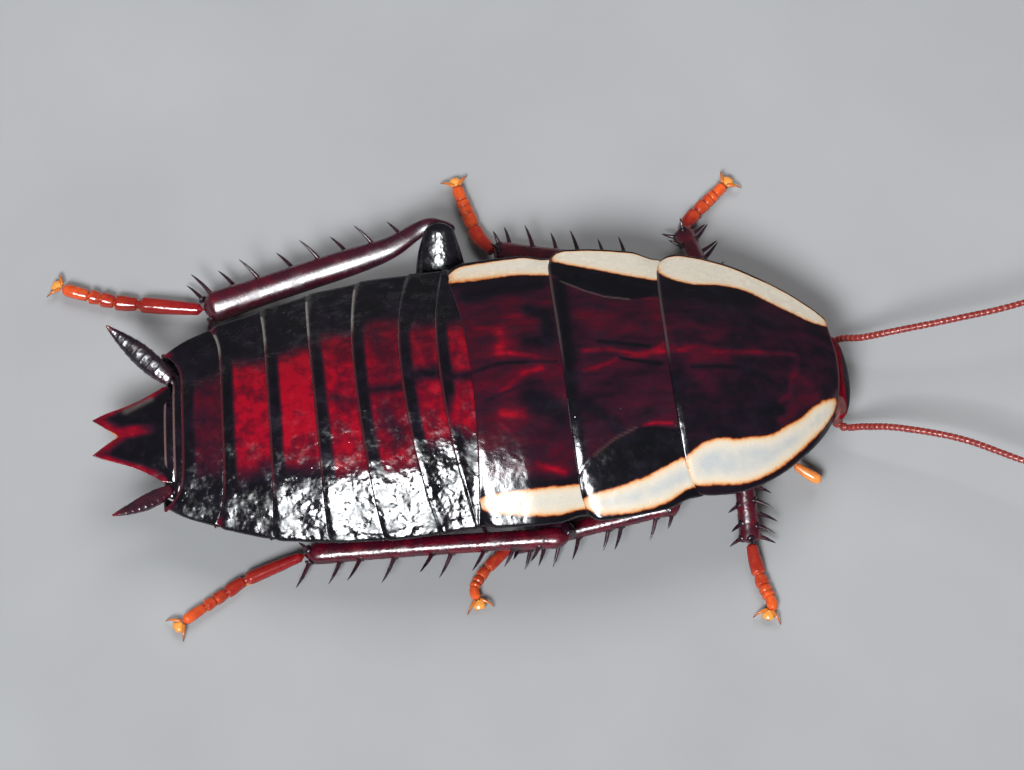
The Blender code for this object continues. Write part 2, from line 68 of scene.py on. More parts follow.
def smooth_curve(stations):
    """A smooth function through (x, value) stations, for a number or an array."""
    xs, values = (np.array(column, dtype=float) for column in zip(*stations))
    index = np.arange(len(xs))
    before, after = np.maximum(index - 1, 0), np.minimum(index + 1, len(xs) - 1)
    slopes = (values[after] - values[before]) / (xs[after] - xs[before])

    def value_at(x):
        x = np.clip(x, xs[0], xs[-1])
        i = np.clip(np.searchsorted(xs, x, side="right") - 1, 0, len(xs) - 2)
        run = xs[i + 1] - xs[i]
        t = (x - xs[i]) / run
        rise = (values[i + 1] - values[i]) * (3 * t ** 2 - 2 * t ** 3)
        bend = slopes[i] * run * (t ** 3 - 2 * t ** 2 + t) + slopes[i + 1] * run * (t ** 3 - t ** 2)
        return values[i] + rise + bend

    return value_at


def smoothstep(low, high, x):
    """0 at low and 1 at high, with an easy start and end; low may be the larger."""
    t = np.clip((x - low) / (high - low), 0.0, 1.0)
    return t * t * (3 - 2 * t)


half_width = smooth_curve(HALF_WIDTH)
ridge_height = smooth_curve(RIDGE_HEIGHT)
margin_height = smooth_curve(MARGIN_HEIGHT)
slant = smooth_curve(SLANT)


def back_height(x, v):
    """Height of the back at v, from -1 at the right margin to 1 at the left."""
    margin = margin_height(x)
    rounded = np.cos(v * math.pi / 2)
    side = np.abs(v)
    straight = 1 - np.where(side < 0.45, side ** 2 / 0.6975, (side - 0.225) / 0.775)
    share = rounded + (straight - rounded) * smoothstep(0.0, 0.5, v)
    return margin + (ridge_height(x) - margin) * share


def corner_power(x):
    """How late the rear edge bows back on its way to the corner: only the hindmost plates are pointed."""
    return 2 + 4 * smoothstep(-4.0, -7.5, x)


def rolled(radius, start, end, steps):
    """Offsets, out and up, of a sheet that rolls over from one angle below level to another."""
    turn = np.linspace(start, end, steps + 1)[1:]
    return radius * (np.sin(turn) - math.sin(start)), radius * (np.cos(turn) - math.cos(start))


def plate_rows(front, rear, tuck=0.40, lift=0.10, flare=0.05, step=0.055, roll=0.05, bevel=0.10):
    """Cross-sections of a plate: tucked in under the one ahead, then out to a rear edge that stands up,
    slopes off over the length of its bevel and rolls under."""
    length = front[0] - rear[0] - roll
    shares = np.linspace(-tuck / length, 1.0, int((length + tuck) / step) + 2)
    depth = 0.15 * smoothstep(0.0, -tuck * 0.8 / length, shares)
    slope = 0.19 * np.clip(bevel - length * (1 - shares), 0.0, 1.0)
    rows = {
        "x": front[0] - length * shares,
        "bow": front[1] + (rear[1] - front[1]) * np.clip(shares, 0.0, 1.0),
        "lift": lift * np.clip(shares, 0.0, 1.0) ** 2 - depth - slope,
        "flare": flare * np.clip(shares, 0.0, 1.0) ** 2 - 0.06 * smoothstep(0.0, -0.2, shares),
        "out": np.zeros(len(shares)),
        "up": np.zeros(len(shares)),
    }
    out, up = rolled(roll, 0.0, math.radians(115), 6)
    for key in ("x", "bow", "lift", "flare"):
        rows[key] = np.append(rows[key], np.full(len(out), rows[key][-1]))
    rows["out"] = np.append(rows["out"], -out)
    rows["up"] = np.append(rows["up"], up)
    return rows


def round_corners(rows, depth, reach):
    """Draws the sides of a plate in towards its rear corners, to round them."""
    ahead = rows["x"] - rows["x"][-1]
    rows["flare"] = rows["flare"] - depth * np.clip(1 - ahead / reach, 0.0, 1.0) ** 2.4
    return rows


def front_roll(rows):
    """Adds a front edge that rolls down and under to the rows of a plate that nothing overlaps."""
    out, up = rolled(RIM_RADIUS, math.radians(28), math.radians(175), 7)
    back = np.linspace(0.08, 0.5, 5)
    out, up = np.append(out, out[-1] - back), np.append(up, up[-1] - 0.05 * back)
    for key in ("x", "bow", "lift", "flare"):
        rows[key] = np.insert(rows[key], 0, np.full(len(out), rows[key][0]))
    rows["out"] = np.insert(rows["out"], 0, out[::-1])
    rows["up"] = np.insert(rows["up"], 0, up[::-1])
    return rows


def plate_surface(rows, width=None, across=160, under=1.0):
    """Points of a plate in rows and columns, with the side rims rolled over and drawn in underneath.

    It also gives each point's station along the animal before bowing and slanting, its distance in from the
    margin and ahead of the rear edge, and its share of the half width, negative on the right."""
    out, up = rolled(RIM_RADIUS, RIM_SLOPE, math.radians(172), 7)
    inward = np.linspace(0.1, 1.0, 8) * under
    out, up = np.append(out, out[-1] - inward), np.append(up, up[-1] - 0.14 * inward)
    v = np.concatenate([np.full(len(out), -1.0), np.linspace(-1, 1, across + 1), np.ones(len(out))])
    aside = np.concatenate([-out[::-1], np.zeros(across + 1), out])
    raised = np.concatenate([up[::-1], np.zeros(across + 1), up])
    steps_out = np.arange(1, len(out) + 1)
    beyond = np.concatenate([steps_out[::-1], np.zeros(across + 1), steps_out]) * 0.04

    x = rows["x"][:, None]
    wide = (half_width(x) if width is None else np.full_like(x, width)) - RIM_RADIUS * 0.45
    y = v * wide + rows["flare"][:, None] * v * np.abs(v) ** 6
    if width is None:
        y = y + 0.27 * smoothstep(-6.2, -8.8, x) * np.clip(-v, 0.0, 1.0) ** 4
        y = y - 0.20 * smoothstep(-8.8, -9.9, x) * v * np.abs(v) ** 3
    bowed = rows["bow"][:, None] * np.abs(v) ** corner_power(x)
    tilted = rows["lift"][:, None] * (1 - 0.6 * np.abs(v) ** 6)
    rear = rows["x"][rows["out"] == 0.0][-1]
    return {
        "x": x + bowed + slant(x) * y + rows["out"][:, None],
        "y": y + aside,
        "z": back_height(x, v) + tilted + raised + rows["up"][:, None],
        "station": np.broadcast_to(x, y.shape),
        "margin": (1 - np.abs(v)) * wide - beyond,
        "share": np.broadcast_to(v, y.shape),
        "behind": np.broadcast_to(x - rear, y.shape),
    }


def grid_faces(rows, columns, closed=False):
    """Faces between points that run row by row; a closed grid also joins its last column to its first."""
    faces = []
    for row in range(rows - 1):
        near, far = row * columns, (row + 1) * columns
        for here in range(columns if closed else columns - 1):
            beside = (here + 1) % columns
            faces.append((near + here, near + beside, far + beside, far + here))
    return faces


def add_piece(name, points, faces, finish, painted=None):
    """One smooth object from points in millimetres, with the numbers for each point that its finish reads."""
    places = np.array(points, dtype=float)
    places[:, 0] -= FOOTPRINT_MIDDLE_X
    mesh = bpy.data.meshes.new(name)
    mesh.from_pydata((places * MM).tolist(), [], faces)
    for key, values in (painted or {}).items():
        values = np.broadcast_to(np.asarray(values, dtype=float), (len(places),))
        mesh.attributes.new(key, "FLOAT", "POINT").data.foreach_set("value", values.ravel())
    mesh.shade_smooth()
    mesh.materials.append(finish)
    piece = bpy.data.objects.new(name, mesh)
    bpy.context.scene.collection.objects.link(piece)
    return piece


def thicken(piece, thickness):
    """Gives a sheet its thickness, in millimetres, on the side away from its normals."""
    shell = piece.modifiers.new("thickness", "SOLIDIFY")
    shell.thickness, shell.offset = thickness * MM, -1


def add_plate(name, surface, finish, painted, thickness=PLATE_THICKNESS):
    """A plate from its surface, thickened downwards; a painted value may be one number for all of it."""
    shape = surface["z"].shape
    points = np.stack([surface[axis].ravel() for axis in "xyz"], axis=1)
    painted = {key: np.broadcast_to(value, shape).ravel() for key, value in painted.items()}
    piece = add_piece(name, points, grid_faces(*shape), finish, painted)
    thicken(piece, thickness)
    return piece


def stroke(x, y, points, width):
    """1 along a line through the points, fading out at about its width on either side."""
    distance = np.full(np.broadcast(x, y).shape, 1e9)
    for (ax, ay), (bx, by) in zip(points, points[1:]):
        dx, dy = bx - ax, by - ay
        share = np.clip(((x - ax) * dx + (y - ay) * dy) / (dx * dx + dy * dy), 0, 1)
        distance = np.minimum(distance, np.hypot(x - ax - share * dx, y - ay - share * dy))
    return np.exp(-(distance / width) ** 2)


def tinted(surface, base, strokes):
    """How red the cuticle is at each point: 0 is black, 0.5 wine and 1 clear red."""
    tint = np.broadcast_to(base, surface["z"].shape)
    for points, width, target in strokes:
        mask = stroke(surface["x"], surface["y"], points, width)
        tint = tint + (target - tint) * mask
    return tint


def side_stripe(surface, inner, outer, ends, side, rounding=0.22):
    """Distance in millimetres inwards from the outline of the cream stripe on one side, negative outside it.

    inner is the stripe's inner edge as (x, distance from the midline), outer its distance from the margin.
    The left stripe has a much narrower border on its outer side."""
    x, y = surface["x"], surface["y"] * side
    inner_edge, outer_edge = smooth_curve(inner), smooth_curve(outer)
    lean = np.hypot(1.0, (inner_edge(x + 0.05) - inner_edge(x - 0.05)) / 0.1)
    from_inner = (y - inner_edge(x)) / lean
    steepness = 3.0 if side > 0 else 1.0
    from_outer = np.where(y > 0, (surface["margin"] - outer_edge(x)) / lean * steepness, -1.0)
    edges = (from_inner, from_outer, surface["station"] - ends[0], ends[1] - surface["station"])
    distance = np.minimum.reduce(edges)
    total = sum(np.exp(-d / rounding * 2.2) for d in edges)
    return np.maximum(np.minimum(distance, -np.log(total) * rounding / 2.2 + 0.03), -1.0)


def add_node(tree, kind, inputs=None, **settings):
    """A shader node with its settings made and its inputs linked or set."""
    made = tree.nodes.new(kind)
    for key, value in settings.items():
        setattr(made, key, value)
    for key, value in (inputs or {}).items():
        if isinstance(value, bpy.types.NodeSocket):
            tree.links.new(value, made.inputs[key])
        else:
            made.inputs[key].default_value = value
    return made


def calculate(tree, operation, first, second=0.0):
    """One step of arithmetic on shader values or numbers."""
    return add_node(tree, "ShaderNodeMath", {0: first, 1: second}, operation=operation).outputs[0]


def blend(tree, factor, first, second):
    """A colour between two others; the factor is kept from 0 to 1."""
    mix = add_node(tree, "ShaderNodeMix", {0: factor, 6: first, 7: second}, data_type="RGBA")
    return mix.outputs[2]


def ramp(tree, factor, stops):
    """Colours along a factor, from (position, red, green, blue) stops."""
    made = add_node(tree, "ShaderNodeValToRGB", {0: factor})
    elements = made.color_ramp.elements
    while len(elements) < len(stops):
        elements.new(0.5)
    for element, (position, *colour) in zip(elements, stops):
        element.position = position
        element.color = (*colour, 1.0)
    return made.outputs[0]


def painted_value(tree, name):
    """The number that a piece has at each of its points under this name, or 0 where it has none."""
    return add_node(tree, "ShaderNodeAttribute", attribute_name=name).outputs["Fac"]


def new_group(name, inputs, outputs):
    """A shader node group with float inputs and their usual values, and outputs with their kinds."""
    group = bpy.data.node_groups.new(name, "ShaderNodeTree")
    for key, value in inputs.items():
        socket = group.interface.new_socket(name=key, in_out="INPUT", socket_type="NodeSocketFloat")
        socket.default_value = value
    for key, kind in outputs.items():
        group.interface.new_socket(name=key, in_out="OUTPUT", socket_type=kind)
    return group, group.nodes.new("NodeGroupInput").outputs, group.nodes.new("NodeGroupOutput").inputs


def use_group(tree, group, **inputs):
    """A node of a group with its inputs linked or set; an underscore in a key stands for a space."""
    made = tree.nodes.new("ShaderNodeGroup")
    made.node_tree = group
    for key, value in inputs.items():
        socket = made.inputs[key.replace("_", " ")]
        if isinstance(value, bpy.types.NodeSocket):
            tree.links.new(value, socket)
        else:
            socket.default_value = value
    return made.outputs


def millimetres(tree, stretch=(1.0, 1.0, 1.0)):
    """The place on the object in millimetres, for textures of the right scale."""
    place = add_node(tree, "ShaderNodeTexCoord").outputs["Object"]
    scale = tuple(s / MM for s in stretch)
    return add_node(tree, "ShaderNodeVectorMath", {0: place, 1: scale}, operation="MULTIPLY").outputs[0]


def noise(tree, scale, detail, roughness=0.5, place=None):
    """Random clouds, from 0 to 1 with most near the middle; the scale is per millimetre."""
    place = millimetres(tree) if place is None else place
    inputs = {"Vector": place, "Scale": scale, "Detail": detail, "Roughness": roughness}
    return add_node(tree, "ShaderNodeTexNoise", inputs).outputs["Fac"]


def remapped(tree, value, low, high, start=0.0, end=1.0, kind="SMOOTHSTEP"):
    """A shader value that goes from start to end while another goes from low to high."""
    inputs = {"Value": value, "From Min": low, "From Max": high, "To Min": start, "To Max": end}
    return add_node(tree, "ShaderNodeMapRange", inputs, interpolation_type=kind).outputs[0]


def cuticle_colour_group():
    """Tanned cuticle over red tissue: black, wine or red by the tint, clouded."""
    group, given, result = new_group(
        "tanned_cuticle", {"Tint": 0.3, "Cloud Scale": 1.6, "Cloud Depth": 0.25, "Length Scale": 1.0},
        {"Color": "NodeSocketColor"})
    scale = add_node(group, "ShaderNodeCombineXYZ", {0: given["Length Scale"], 1: 1.0, 2: 1.0}).outputs[0]
    place = add_node(
        group, "ShaderNodeVectorMath", {0: millimetres(group), 1: scale}, operation="MULTIPLY").outputs[0]
    clouds = noise(group, given["Cloud Scale"], 5.0, 0.62, place)
    shift = calculate(group, "SUBTRACT", clouds, 0.5)
    swing = calculate(group, "MULTIPLY", calculate(group, "MULTIPLY", shift, given["Cloud Depth"]), 4.0)
    swing = calculate(group, "MULTIPLY", swing, calculate(group, "ADD", given["Tint"], 0.12))
    tint = calculate(group, "ADD", given["Tint"], swing)
    colour = ramp(group, tint, (
        (0.0, 0.0018, 0.0022, 0.0034), (0.18, 0.0055, 0.0028, 0.0062), (0.38, 0.024, 0.0035, 0.010),
        (0.60, 0.058, 0.0020, 0.0095), (0.80, 0.130, 0.0012, 0.0095), (1.0, 0.265, 0.0010, 0.0105),
    ))
    veil = remapped(group, noise(group, 1.1, 6.0, 0.7), 0.48, 0.72, 0.0, 0.45, "LINEAR")
    veil = calculate(group, "MULTIPLY", veil, calculate(group, "SUBTRACT", 1.0, given["Tint"]))
    colour = blend(group, veil, colour, (0.016, 0.010, 0.022, 1.0))
    group.links.new(colour, result["Color"])
    return group


def relief_group():
    """Height of a shining surface that is not quite even, with swells, dents, pits and grain, and its wear
    from 0 to 1."""
    group, given, result = new_group(
        "uneven_gloss",
        {"Swell Scale": 1.6, "Swell": 0.5, "Dent Scale": 5.0, "Dent": 0.3, "Grain": 0.1, "Pits": 0.0},
        {"Height": "NodeSocketFloat", "Wear": "NodeSocketFloat"})
    place = millimetres(group)
    swell = noise(group, given["Swell Scale"], 2.0, 0.5, place)
    dents = add_node(
        group, "ShaderNodeTexVoronoi", {"Vector": place, "Scale": given["Dent Scale"], "Smoothness": 0.6},
        feature="SMOOTH_F1")
    grain = noise(group, 22.0, 2.0, 0.6, place)
    pits = add_node(group, "ShaderNodeTexVoronoi", {"Vector": place, "Scale": 2.3}, feature="F1")
    pit = remapped(group, pits.outputs["Distance"], 0.0, 0.13, -1.0, 0.0)
    height = calculate(group, "MULTIPLY", swell, given["Swell"])
    height = calculate(group, "ADD", height, calculate(group, "MULTIPLY", pit, given["Pits"]))
    height = calculate(
        group, "ADD", height, calculate(group, "MULTIPLY", dents.outputs["Distance"], given["Dent"]))
    height = calculate(group, "ADD", height, calculate(group, "MULTIPLY", grain, given["Grain"]))
    group.links.new(height, result["Height"])
    patches = noise(group, 1.9, 6.0, 0.68, place)
    group.links.new(remapped(group, patches, 0.46, 0.64), result["Wear"])
    return group


def stripe_group():
    """Over a ground colour, the cream stripe with its orange outline, by the distance in from its edge, with a
    grey painted sheen over its middle where one is given.
    """
    group, given, result = new_group(
        "cream_stripe", {"Distance": -1.0, "Greyness": 0.0},
        {"Color": "NodeSocketColor", "Mask": "NodeSocketFloat"})
    ragged = noise(group, 5.0, 3.0)
    wander = calculate(group, "MULTIPLY", calculate(group, "SUBTRACT", ragged, 0.5), 0.09)
    distance = calculate(group, "ADD", given["Distance"], wander)
    along = calculate(group, "ADD", calculate(group, "MULTIPLY", distance, 2.6), 0.12)
    colour = ramp(group, along, (
        (0.0, 0.022, 0.002, 0.002), (0.08, 0.13, 0.013, 0.004), (0.15, 0.48, 0.15, 0.032),
        (0.25, 0.62, 0.37, 0.19), (0.40, 0.62, 0.50, 0.36), (0.65, 0.60, 0.525, 0.425),
        (1.0, 0.59, 0.53, 0.44),
    ))
    # A flecked grey painted reflection of the light over the stripe's middle, as strong as the painted sheen
    # that is given.
    sheen_flecks = noise(group, 1.6, 5.0)
    middle = remapped(group, distance, 0.12, 0.45, 0.0, 2.2)
    dull = calculate(group, "MULTIPLY", calculate(group, "SUBTRACT", sheen_flecks, 0.10), given["Greyness"])
    dull = calculate(group, "MULTIPLY", dull, middle)
    colour = blend(group, dull, colour, (0.425, 0.432, 0.425, 1.0))
    mask = calculate(group, "MULTIPLY", calculate(group, "ADD", distance, 0.05), 20.0)
    mask = add_node(group, "ShaderNodeClamp", {0: mask}).outputs[0]
    group.links.new(colour, result["Color"])
    group.links.new(mask, result["Mask"])
    return group


tanned_cuticle = cuticle_colour_group()
uneven_gloss = relief_group()
cream_stripe = stripe_group()


def new_material(name, roughness, ior=1.56):
    """A material, its node tree and its shader."""
    made = bpy.data.materials.new(name)
    made.use_nodes = True
    shader = made.node_tree.nodes["Principled BSDF"]
    shader.inputs["Roughness"].default_value = roughness
    shader.inputs["IOR"].default_value = ior
    return made, made.node_tree, shader


def bumped(tree, shader, height, distance):
    """Feeds a height, in shares of a distance in millimetres, to the shader's normal."""
    bump = add_node(tree, "ShaderNodeBump", {"Height": height, "Distance": distance * MM})
    tree.links.new(bump.outputs[0], shader.inputs["Normal"])


def plate_finish(name, cloud_scale, cloud_depth, swell=0.30, dent=0.10, length_scale=1.0, wear=0.06):
    """Shining cuticle with a painted tint, cream stripe with its painted sheen, pale lip lines that in places
    are painted highlights, and height in millimetres.

    The unevenness of its gloss goes down where the piece is painted calm."""
    made, tree, shader = new_material(name, 0.13)
    depth = 0.075  # millimetres, for a height of one
    ground = use_group(
        tree, tanned_cuticle, Tint=painted_value(tree, "tint"), Cloud_Scale=cloud_scale,
        Cloud_Depth=cloud_depth, Length_Scale=length_scale)
    stripe = use_group(
        tree, cream_stripe, Distance=painted_value(tree, "stripe"), Greyness=painted_value(tree, "stripe_sheen"))
    colour = blend(tree, stripe["Mask"], ground["Color"], stripe["Color"])
    # The lip colour goes along edge lines. The pale line along the left rear edges of the thorax plates and the
    # streak on the tail lobe are painted highlights.
    lip = ramp(tree, painted_value(tree, "lip_shade"), ((0.0, 0.15, 0.020, 0.030), (1.0, 0.20, 0.18, 0.16)))
    colour = blend(tree, painted_value(tree, "lip"), colour, lip)
    tree.links.new(colour, shader.inputs["Base Color"])
    relief = use_group(
        tree, uneven_gloss, Swell_Scale=2.1, Swell=swell, Dent_Scale=3.4, Dent=dent, Grain=0.02, Pits=0.10)
    dullness = calculate(tree, "ADD", calculate(tree, "MULTIPLY", relief["Wear"], wear), 0.12)
    dullness = calculate(tree, "ADD", dullness, calculate(tree, "MULTIPLY", stripe["Mask"], 0.14))
    tree.links.new(dullness, shader.inputs["Roughness"])
    level = calculate(tree, "DIVIDE", painted_value(tree, "level"), depth)
    uneven = calculate(
        tree, "MULTIPLY", relief["Height"], calculate(tree, "SUBTRACT", 1.0, painted_value(tree, "calm")))
    bumped(tree, shader, calculate(tree, "ADD", uneven, level), depth)
    return made


def soft_ramp(distance, width):
    """0 before nought, then rising to a slope of one over a width."""
    ahead = np.clip(distance, 0.0, width)
    return ahead ** 2 / (2 * width) + np.maximum(distance - width, 0.0)


def flank_level(surface):
    """A painted height that makes the left shoulder shine like one that slopes less."""
    x, y = surface["x"], surface["y"]
    return 0.16 * soft_ramp(y - 0.8, 0.8) + 0.30 * soft_ramp(x - 8.6, 1.0) * smoothstep(-0.3, 1.4, y)


def rear_edge_highlight(surface):
    """1 along the rear edge of a plate, from the midline to the left margin, for a pale painted highlight where
    the rolled edge catches the light.
    """
    along = smoothstep(0.035, 0.0, surface["behind"]) * smoothstep(-0.6, 0.3, surface["y"])
    return along * (surface["margin"] > 0)


thorax_finish = plate_finish("thorax_cuticle", 2.0, 0.40, 0.22, 0.07, 0.45)

PRONOTUM_FRONT = (12.25, -0.22)
PRONOTUM_REAR = (6.50, 0.25)
# Darker and redder strokes in a plate's colour: the points of a line, its width and its tint.
PRONOTUM_STROKES = (
    (((7.0, 1.10), (8.1, 0.6)), 0.42, 0.42), (((7.3, -0.65), (7.8, -1.1)), 0.30, 0.42),
    (((7.4, -0.2), (8.3, -0.25)), 0.30, 0.50), (((6.68, 0.07), (6.63, 0.87)), 0.16, 0.45),
    (((10.0, 2.0), (11.0, 1.7)), 0.30, 0.36), (((11.3, -1.25), (10.6, -1.65), (10.1, -2.1)), 0.22, 0.50),
    (((10.84, -0.16), (10.55, -0.9), (10.45, -1.34), (10.1, -1.6)), 0.10, 0.48),
    (((10.8, -0.9), (11.0, -0.9)), 0.28, 0.42), (((6.65, 2.88), (9.3, 2.43)), 0.40, 0.05),
    (((7.3, -0.60), (8.27, -0.56), (9.12, -0.60), (9.92, -1.02)), 0.07, 0.12),
    (((9.6, -1.9), (10.1, -1.85)), 0.20, 0.05),
    (((6.9, 0.0), (7.75, -0.03), (8.88, -0.04), (9.84, -0.02)), 0.10, 0.62),
    (((9.84, -0.02), (10.74, 0.01)), 0.08, 0.48), (((7.2, 0.02), (7.8, -0.03)), 0.20, 0.55),
    (((6.62, -3.0), (6.62, -1.0)), 0.20, 0.04),
)
# Where the outline swells: axis, side, place and reach along x, how far, and how closely it keeps to the rim.
PRONOTUM_SWELLS = (
    ("y", 1, 11.95, 0.70, 0.36, 2), ("y", 1, 10.9, 0.80, 0.15, 2), ("x", 1, 12.05, 0.45, 0.17, 4),
    ("y", -1, 7.5, 0.65, 0.17, 3),
)

pronotum_rows = plate_rows(
    PRONOTUM_FRONT, PRONOTUM_REAR, tuck=0.0, lift=0.10, flare=0.04, roll=0.06, bevel=0.16)
pronotum_rows = front_roll(round_corners(pronotum_rows, 0.40, 0.95))
pronotum = plate_surface(pronotum_rows)
pronotum["x"] -= 0.08 * np.abs(pronotum["share"]) ** 4 * smoothstep(11.2, 12.25, pronotum["station"])
for axis, side, place, reach, height, power in PRONOTUM_SWELLS:
    nearby = np.exp(-((pronotum["x"] - place) / reach) ** 2)
    pronotum[axis] += height * nearby * np.clip(side * pronotum["share"], 0, 1) ** power
right_stripe = side_stripe(
    pronotum,
    ((6.5, 3.40), (6.85, 3.25), (7.37, 2.94), (8.02, 2.77), (8.51, 2.79), (9.10, 2.70), (9.67, 2.60),
     (10.18, 2.32), (10.81, 1.94), (11.23, 1.56), (11.71, 1.27), (12.2, 1.08)),
    ((6.5, 0.12), (6.96, 0.20), (7.64, 0.22), (8.84, 0.12), (9.76, 0.12), (10.71, 0.16), (11.45, 0.18),
     (12.2, 0.20)),
    (6.53, 12.12), -1)
left_stripe = side_stripe(
    pronotum,
    ((6.5, 3.70), (6.91, 3.26), (7.65, 2.94), (8.60, 2.93), (9.41, 2.75), (10.26, 2.24), (11.1, 1.81),
     (11.54, 1.62), (12.4, 1.54)),
    ((6.5, 0.08), (6.8, 0.08), (7.36, 0.07), (8.0, 0.05), (9.6, 0.08), (10.5, 0.05), (12.0, 0.06)),
    (6.53, 12.22), 1)
# A pale painted highlight along the left half of the shield's rear edge.
rear_highlight = rear_edge_highlight(pronotum)
front_line = np.exp(-((pronotum["station"] - 12.22) / 0.05) ** 2)
front_line = front_line * (pronotum["margin"] > 0) * (pronotum["share"] < 0.9)
shield = add_plate("pronotum_plate", pronotum, thorax_finish, {
    "tint": tinted(pronotum, 0.18 + 0.06 * np.exp(-(pronotum["y"] / 1.5) ** 2), PRONOTUM_STROKES),
    "stripe": np.maximum(right_stripe, left_stripe),
    # Only the right stripe, on the lit side, gets a grey painted sheen in its middle.
    "stripe_sheen": np.where(pronotum["y"] < 0, 0.9, 0.0),
    "level": flank_level(pronotum),
    "lip": 0.55 * front_line + 0.20 * rear_highlight,
    "lip_shade": 0.35 + 0.50 * rear_highlight,
}, 0.10)
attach(shield, "root")
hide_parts("pronotum")

# Plates of the middle and hind thorax
#
# Two wider plates overlapped from the front, stiff in the middle, with thin growing wing pads at the sides
# that a crease marks off. The cream stripes run on across them and end in a round tip on the hind one.

MESONOTUM_REAR = (3.04, 0.12)
METANOTUM_REAR = (0.05, -0.33)
MESONOTUM_STROKES = (
    (((6.2, 2.0), (6.45, 1.4)), 0.35, 0.52), (((3.8, 1.75), (4.3, 1.4)), 0.35, 0.50),
    (((4.8, 1.2), (6.1, 0.9)), 0.30, 0.46), (((4.9, -0.9), (6.2, -1.2)), 0.55, 0.34),
    (((3.30, 3.3), (3.24, 0.9), (3.22, -0.8), (3.28, -3.4)), 0.24, 0.03),
    (((3.7, -1.6), (4.6, -2.2)), 0.30, 0.16), (((6.44, 2.28), (5.82, 2.38), (5.3, 2.37)), 0.06, 0.62),
    (((6.46, -2.31), (5.9, -2.25), (5.5, -2.32)), 0.06, 0.80),
    (((6.41, 0.05), (5.46, 0.02), (4.53, 0.27), (3.77, 0.23)), 0.10, 0.82),
    (((6.43, 0.31), (5.77, -0.08), (4.89, -0.08), (4.23, -0.37), (3.75, -0.45)), 0.09, 0.74),
    (((6.25, -0.39), (5.45, -0.22), (4.95, -0.10)), 0.06, 0.06),
    (((5.93, 0.26), (5.18, 0.41), (4.3, 0.58)), 0.07, 0.06),
)
METANOTUM_STROKES = (
    (((2.2, 2.2), (2.75, 1.9), (2.7, 0.75), (2.0, 0.85)), 0.34, 0.10),
    (((1.9, -1.1), (2.8, -1.8)), 0.42, 0.14), (((0.2, 3.2), (2.6, 3.4)), 0.36, 0.06),
    (((0.7, -3.0), (2.0, -2.6)), 0.35, 0.34), (((1.13, 1.46), (1.07, 0.54)), 0.22, 0.80),
    (((1.38, 0.43), (2.18, 0.22)), 0.10, 0.80), (((0.94, -0.95), (1.83, -0.30), (2.34, -0.22)), 0.11, 0.76),
    (((0.9, -1.55), (1.6, -1.67)), 0.16, 0.82), (((0.32, 1.67), (0.9, 1.51)), 0.14, 0.70),
    (((1.38, 2.26), (1.8, 1.94)), 0.22, 0.62), (((2.0, -3.2), (2.79, -3.49)), 0.12, 0.78),
    (((0.74, -1.8), (1.37, -2.46)), 0.04, 0.62),
    (((0.12, -0.12), (1.03, 0.11), (1.98, 0.06), (2.86, -0.03)), 0.06, 0.20),
    (((0.42, -1.14), (1.27, -0.86), (2.3, -0.65)), 0.06, 0.26),
)
PAD_CREASE = ((3.1, 3.75), (3.6, 3.20), (4.1, 2.85), (5.0, 2.40), (5.7, 2.30), (6.5, 2.40))


def crease(surface, points, width, depth):
    """Presses a crease into a plate on both sides."""
    for side in (-1, 1):
        mirrored = [(x, y * side) for x, y in points]
        surface["z"] -= depth * stroke(surface["x"], surface["y"], mirrored, width) * (surface["margin"] > 0)


mesonotum_rows = round_corners(
    plate_rows(PRONOTUM_REAR, MESONOTUM_REAR, lift=0.10, flare=0.08, bevel=0.16), 0.36, 0.6)
mesonotum_rows["flare"] -= 0.22 * smoothstep(5.7, 6.5, mesonotum_rows["x"])
mesonotum = plate_surface(mesonotum_rows)
crease(mesonotum, PAD_CREASE, 0.07, 0.024)
pad_line = smooth_curve(PAD_CREASE)(mesonotum["x"])
in_pad = smoothstep(0.02, 0.10, np.abs(mesonotum["y"]) - pad_line)
meso_tint = tinted(mesonotum, 0.37, MESONOTUM_STROKES)
meso_stripe = np.maximum(
    side_stripe(
        mesonotum, ((3.0, 4.40), (3.57, 4.22), (4.35, 4.08), (5.34, 3.83), (5.75, 3.68), (6.61, 3.32)),
        ((3.0, 0.16), (3.52, 0.11), (4.64, 0.03), (5.82, 0.08), (6.91, 0.27)), (3.02, 7.2), -1),
    side_stripe(
        mesonotum, ((3.0, 4.60), (3.12, 4.50), (3.34, 4.32), (4.83, 3.74), (6.41, 3.22)),
        ((3.0, 0.06), (7.0, 0.05)), (3.16, 7.2), 1))
meso_place = (mesonotum["x"], mesonotum["y"])
crease_line = 0.30 * stroke(*meso_place, ((5.25, -2.37), (4.52, -2.67), (3.78, -3.13)), 0.035)
crease_line += 0.28 * stroke(*meso_place, ((5.5, 2.34), (4.7, 2.52), (4.1, 2.85), (3.35, 3.40)), 0.03)
mesonotum_plate = add_plate("mesonotum_plate", mesonotum, thorax_finish, {
    "tint": meso_tint * (1 - 0.9 * in_pad),
    "stripe": meso_stripe,
    # Only the right stripe, on the lit side, gets a grey painted sheen in its middle.
    "stripe_sheen": np.where(mesonotum["y"] < 0, 0.9, 0.0),
    "level": flank_level(mesonotum),
    # The lip holds the crease lines and a pale painted highlight along the left half of the rear edge.
    "lip": np.maximum(crease_line, 0.20 * rear_edge_highlight(mesonotum)),
    "lip_shade": 0.3 + 0.5 * smoothstep(0.0, 1.0, mesonotum["y"]),
})
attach(mesonotum_plate, "root")
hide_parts("mesonotum")

